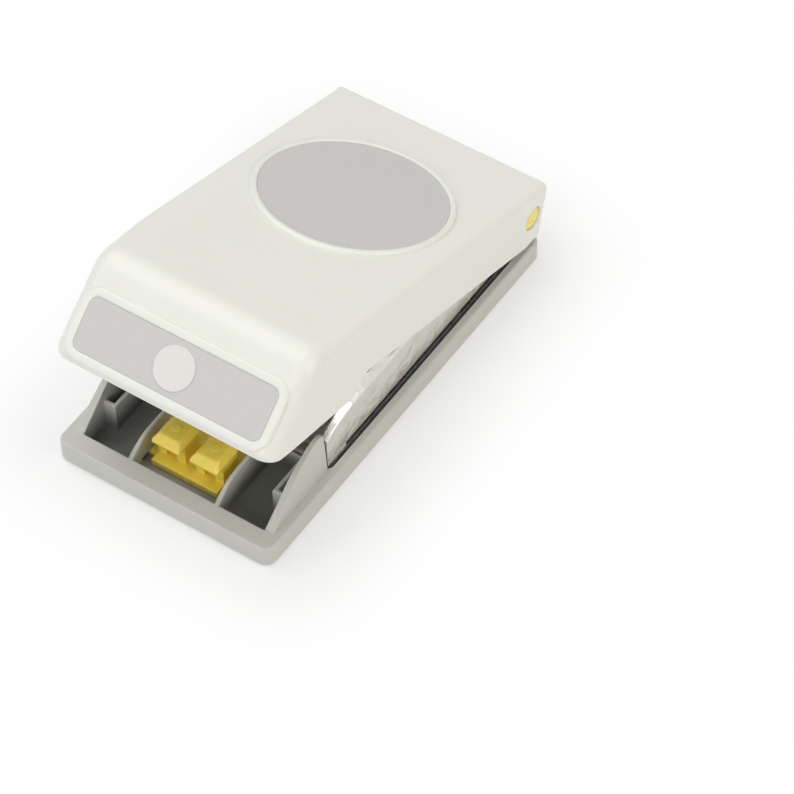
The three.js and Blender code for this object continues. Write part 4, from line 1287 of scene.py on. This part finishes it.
# %% Node trees that grow forms on points
class Grower(Graph):
    """A Geometry Nodes tree that sets copies of one form on the points of a mesh."""

    def __init__(self, name, inputs):
        super().__init__(bpy.data.node_groups.new(name, "GeometryNodeTree"))
        self.ids = {}
        for label, kind in {"Geometry": "Geometry", **inputs, "Material": "Material"}.items():
            made = self.tree.interface.new_socket(label, in_out="INPUT", socket_type=f"NodeSocket{kind}")
            self.ids[label] = made.identifier
        self.tree.interface.new_socket("Geometry", in_out="OUTPUT", socket_type="NodeSocketGeometry")
        self.entry = self.tree.nodes.new("NodeGroupInput")

    def given(self, label):
        return Reading(self, self.entry.outputs[label])

    def lifted(self, mesh, height):
        offset = self.node("ShaderNodeCombineXYZ", {}, {"Z": height})
        return self.node("GeometryNodeTransform", {}, {"Geometry": mesh, "Translation": offset})

    def finished(self, form):
        copies = self.node("GeometryNodeInstanceOnPoints", {},
                           {"Points": self.given("Geometry"), "Instance": form})
        realised = self.node("GeometryNodeRealizeInstances", {}, {"Geometry": copies})
        painted = self.node("GeometryNodeSetMaterial", {},
                            {"Geometry": realised, "Material": self.given("Material")})
        self.node("NodeGroupOutput", {}, {"Geometry": painted})
        return self


def grown(tree, points, values):
    """Runs the tree on a few points in mm and returns a plain mesh object."""
    mesh = bpy.data.meshes.new("places")
    mesh.from_pydata([Vector(p) * mm for p in points], [], [])
    made = new_object("places", mesh)
    modifier = made.modifiers.new("grow", "NODES")
    modifier.node_group = tree.tree
    for label, value in {**values, "Material": materials["screw_steel"]}.items():
        modifier[tree.ids[label]] = value
    return freeze(made)


def screw_tree():
    """A screw that stands on its points: head below z = 0, shaft above it."""
    tree = Grower("screws", {"Shaft radius": "Float", "Shaft length": "Float", "Head radius": "Float",
                             "Head height": "Float", "Turned over": "Bool"})
    radius, height, length = map(tree.given, ("Head radius", "Head height", "Shaft length"))
    rim = height * 0.55
    collar = tree.node("GeometryNodeMeshCylinder", {}, {"Vertices": 32, "Radius": radius, "Depth": rim})
    dome = tree.node("GeometryNodeMeshCone", {}, {
        "Vertices": 32, "Radius Top": radius, "Radius Bottom": radius * 0.72, "Depth": height - rim})
    shaft = tree.node("GeometryNodeMeshCylinder", {}, {
        "Vertices": 24, "Radius": tree.given("Shaft radius"), "Depth": length})
    forms = [tree.lifted(collar, rim * -0.5), tree.lifted(dome, height * -1.0),
             tree.lifted(shaft, length * 0.5)]
    solid = tree.node("GeometryNodeMeshBoolean", {"operation": "UNION", "solver": "EXACT"},
                      {"Mesh 2": forms})
    # A cross of two bars is cut into the head for the driver
    long_side, thin_side, deep = radius * 1.15, radius * 0.26, height * 1.1
    bars = []
    for first, second in ((long_side, thin_side), (thin_side, long_side)):
        size = tree.node("ShaderNodeCombineXYZ", {}, {"X": first, "Y": second, "Z": deep})
        bars.append(tree.lifted(tree.node("GeometryNodeMeshCube", {}, {"Size": size}), height * -1.0))
    crossed = tree.node("GeometryNodeMeshBoolean", {"operation": "DIFFERENCE", "solver": "EXACT"},
                        {"Mesh 1": solid, "Mesh 2": bars})
    spin = tree.node("ShaderNodeCombineXYZ", {}, {"X": tree.given("Turned over") * math.pi})
    laid = tree.node("GeometryNodeTransform", {}, {"Geometry": crossed, "Rotation": spin})
    return tree.finished(laid)


print("screws and springs can grow")

# %% All the screws
screws = screw_tree()
large, small, low_head = (2, 3.5, 1.3), (1.4, 2.6, 1.4), (1.4, 2.6, 0.6)
two = [word for _, word in sides]
four = (1, 2, 3, 4)


def set_screws(node, endings, body, places, head_face, end, sizes, moved=None):
    """Screws with their head's face at head_face and their end at end, in mm. Their sizes are the
    shaft's radius, the head's radius and the head's height."""
    shaft, head, thick = sizes
    group = grown(screws, [(x, y, head_face) for x, y in places], {
        "Shaft radius": shaft * mm, "Shaft length": abs(end - head_face) * mm,
        "Head radius": head * mm, "Head height": thick * mm, "Turned over": end < head_face})
    group = soften(group, 0.08, 2)
    nodes = [f"{node}_{ending}" for ending in endings]
    fit(moved(group) if moved else group, f"fine_{node}s", body, "screw_steel", nodes)


head_seat = tray_bottom + 1.6
set_screws("frame_screw", two, "base", frame_screws, head_seat, guide_top - 0.8, large)
set_screws("die_screw", two, "base", die_screws, head_seat, die_low.z + 3.4, large)
set_screws("cutter_screw", four, "cutter", cutter_screws, slab_top, plate_low.z - 2, small)
set_screws("arm_screw", four, "lever", arm_screws, web_low - 0.3, web_top + 2.2, small, on_lever)
set_screws("press_bar_screw", two, "lever", bar_screws, web_top + 0.3, bar_top - 3.5, low_head, on_lever)

# %% [markdown]
# Springs
#
# A compression spring is a helix whose pitch closes up at both ends, so that it stands square. The
# tree starts from a plain spiral, shifts its points along the axis by a sine, and carries a small
# circle along the line.

# %% Springs
def spring_tree():
    tree = Grower("springs", {"Radius": "Float", "Wire": "Float", "Height": "Float", "Turns": "Float"})
    radius, height = tree.given("Radius"), tree.given("Height")
    spiral = tree.node("GeometryNodeCurveSpiral", {}, {
        "Resolution": 32, "Rotations": tree.given("Turns"), "Start Radius": radius, "End Radius": radius,
        "Height": height})
    level = tree.node("ShaderNodeSeparateXYZ", {}, {0: tree.node("GeometryNodeInputPosition")}, 2)
    share = level / height
    wave = share.math("SINE", share * (2 * math.pi), 0.0)
    offset = tree.node("ShaderNodeCombineXYZ", {}, {"Z": wave * height * (-0.5 / (2 * math.pi))})
    line = tree.node("GeometryNodeSetPosition", {}, {"Geometry": spiral, "Offset": offset})
    ring = tree.node("GeometryNodeCurvePrimitiveCircle", {}, {
        "Resolution": 10, "Radius": tree.given("Wire")})
    wire = tree.node("GeometryNodeCurveToMesh", {}, {
        "Curve": line, "Profile Curve": ring, "Fill Caps": True})
    return tree.finished(wire)


spring_low, spring_high = box_mm("cutter_spring_1")
spring_radius, wire_radius, spring_turns = 3.2, 0.4, 5.5
foot_z = spring_low.z + wire_radius
rest_length = spring_high.z - spring_low.z - 2 * wire_radius
springs = spring_tree()
for number, (x, y) in enumerate(spring_places, 1):
    spring = grown(springs, [(x, y, foot_z)], {
        "Radius": spring_radius * mm, "Wire": wire_radius * mm, "Height": rest_length * mm,
        "Turns": spring_turns})
    spring.data.shade_smooth()
    spring = fit(spring, f"fine_cutter_spring_{number}", "base", "screw_steel")
    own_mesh(spring)

# %% [markdown]
# Floor and light
#
# The object stands on a pale floor in soft studio light. A white picture background could come
# from brighter lamps, but those would bleach the object. Here the floor only looks white: close to
# the tray it is partly an ordinary pale surface that takes the shadow, and within a few centimetres
# it changes to a plain white that the lamps don't touch.

# %% Floor
floor_reach, near_floor, near_white = 3.0, 0.04, 0.4
floor_corners = [(x * floor_reach, y * floor_reach, 0) for x, y in ((-1, -1), (1, -1), (1, 1), (-1, 1))]
floor_mesh = bpy.data.meshes.new("floor")
floor_mesh.from_pydata(floor_corners, [], [[0, 1, 2, 3]])
floor = new_object("floor", floor_mesh)
floor_material = bpy.data.materials.new("floor")
recipe = Recipe(floor_material)


def vector_math(operation, first, second=(0, 0, 0), output=0):
    return recipe.node("ShaderNodeVectorMath", {"operation": operation}, {0: first, 1: second}, output)


tray_corner = (base_half * mm, tray_high.y * mm, 0)
beyond = vector_math("SUBTRACT", vector_math("ABSOLUTE", recipe.place()), tray_corner)
away = vector_math("LENGTH", vector_math("MAXIMUM", beyond), output=1)
white_share = recipe.ramp(away, 0.0, near_floor, near_white, 1.0)
pale = recipe.node("ShaderNodeBsdfDiffuse", {}, {"Color": (0.93, 0.93, 0.93, 1)})
white = recipe.node("ShaderNodeEmission", {}, {"Color": (1, 1, 1, 1), "Strength": 1.0})
both = recipe.node("ShaderNodeMixShader", {}, {
    0: recipe.seen_by("Camera", "Glossy") * white_share, 1: pale, 2: white})
recipe.node("ShaderNodeOutputMaterial", {}, {"Surface": both})
floor_mesh.materials.append(floor_material)
print("floor", floor_reach * 2, "m wide")

# %% World
world = bpy.data.worlds.new("studio")
scene.world = world
recipe = Recipe(world)
height = recipe.node("ShaderNodeSeparateXYZ", {}, {0: recipe.node("ShaderNodeTexCoord")}, 2)
# The room round the object is dark at the horizon and half bright above it
level = recipe.ramp(height, 0.0, 0.3, 0.0, 0.5)
room = recipe.node("ShaderNodeBackground", {}, {"Color": (0.99, 0.99, 1, 1), "Strength": level})
backdrop = recipe.node("ShaderNodeBackground", {}, {"Color": (1, 1, 1, 1), "Strength": 1.0})
both = recipe.node("ShaderNodeMixShader", {}, {
    0: recipe.seen_by("Camera", "Glossy", "Transmission"), 1: room, 2: backdrop})
recipe.node("ShaderNodeOutputWorld", {}, {"Surface": both})
print("world", world.name)

# %% Lamps
def softbox(name, place, size, power, colour=(1, 1, 1)):
    light = bpy.data.lights.new(name, "AREA")
    light.shape = "RECTANGLE"
    light.size, light.size_y = size
    light.energy = power
    light.color = colour
    lamp = bpy.data.objects.new(name, light)
    to_the_object = (-Vector(place)).to_track_quat("-Z", "Y").to_matrix().to_4x4()
    lamp.matrix_world = Matrix.Translation(place) @ to_the_object
    scene.collection.objects.link(lamp)
    print("lamp", name, power, "W")


softbox("key", (-0.62, 0.05, 1.3), (1.2, 1.2), 7.65)
softbox("front", (0.1, -1.33, 0.8), (0.45, 0.35), 4.5)
softbox("front_left", (-0.95, -1.0, 0.75), (0.25, 0.25), 1.3)
softbox("side_fill", (1.05, 0.05, 0.7), (0.6, 0.5), 4.3, (1, 0.95, 0.82))
scene.view_settings.view_transform = "Standard"
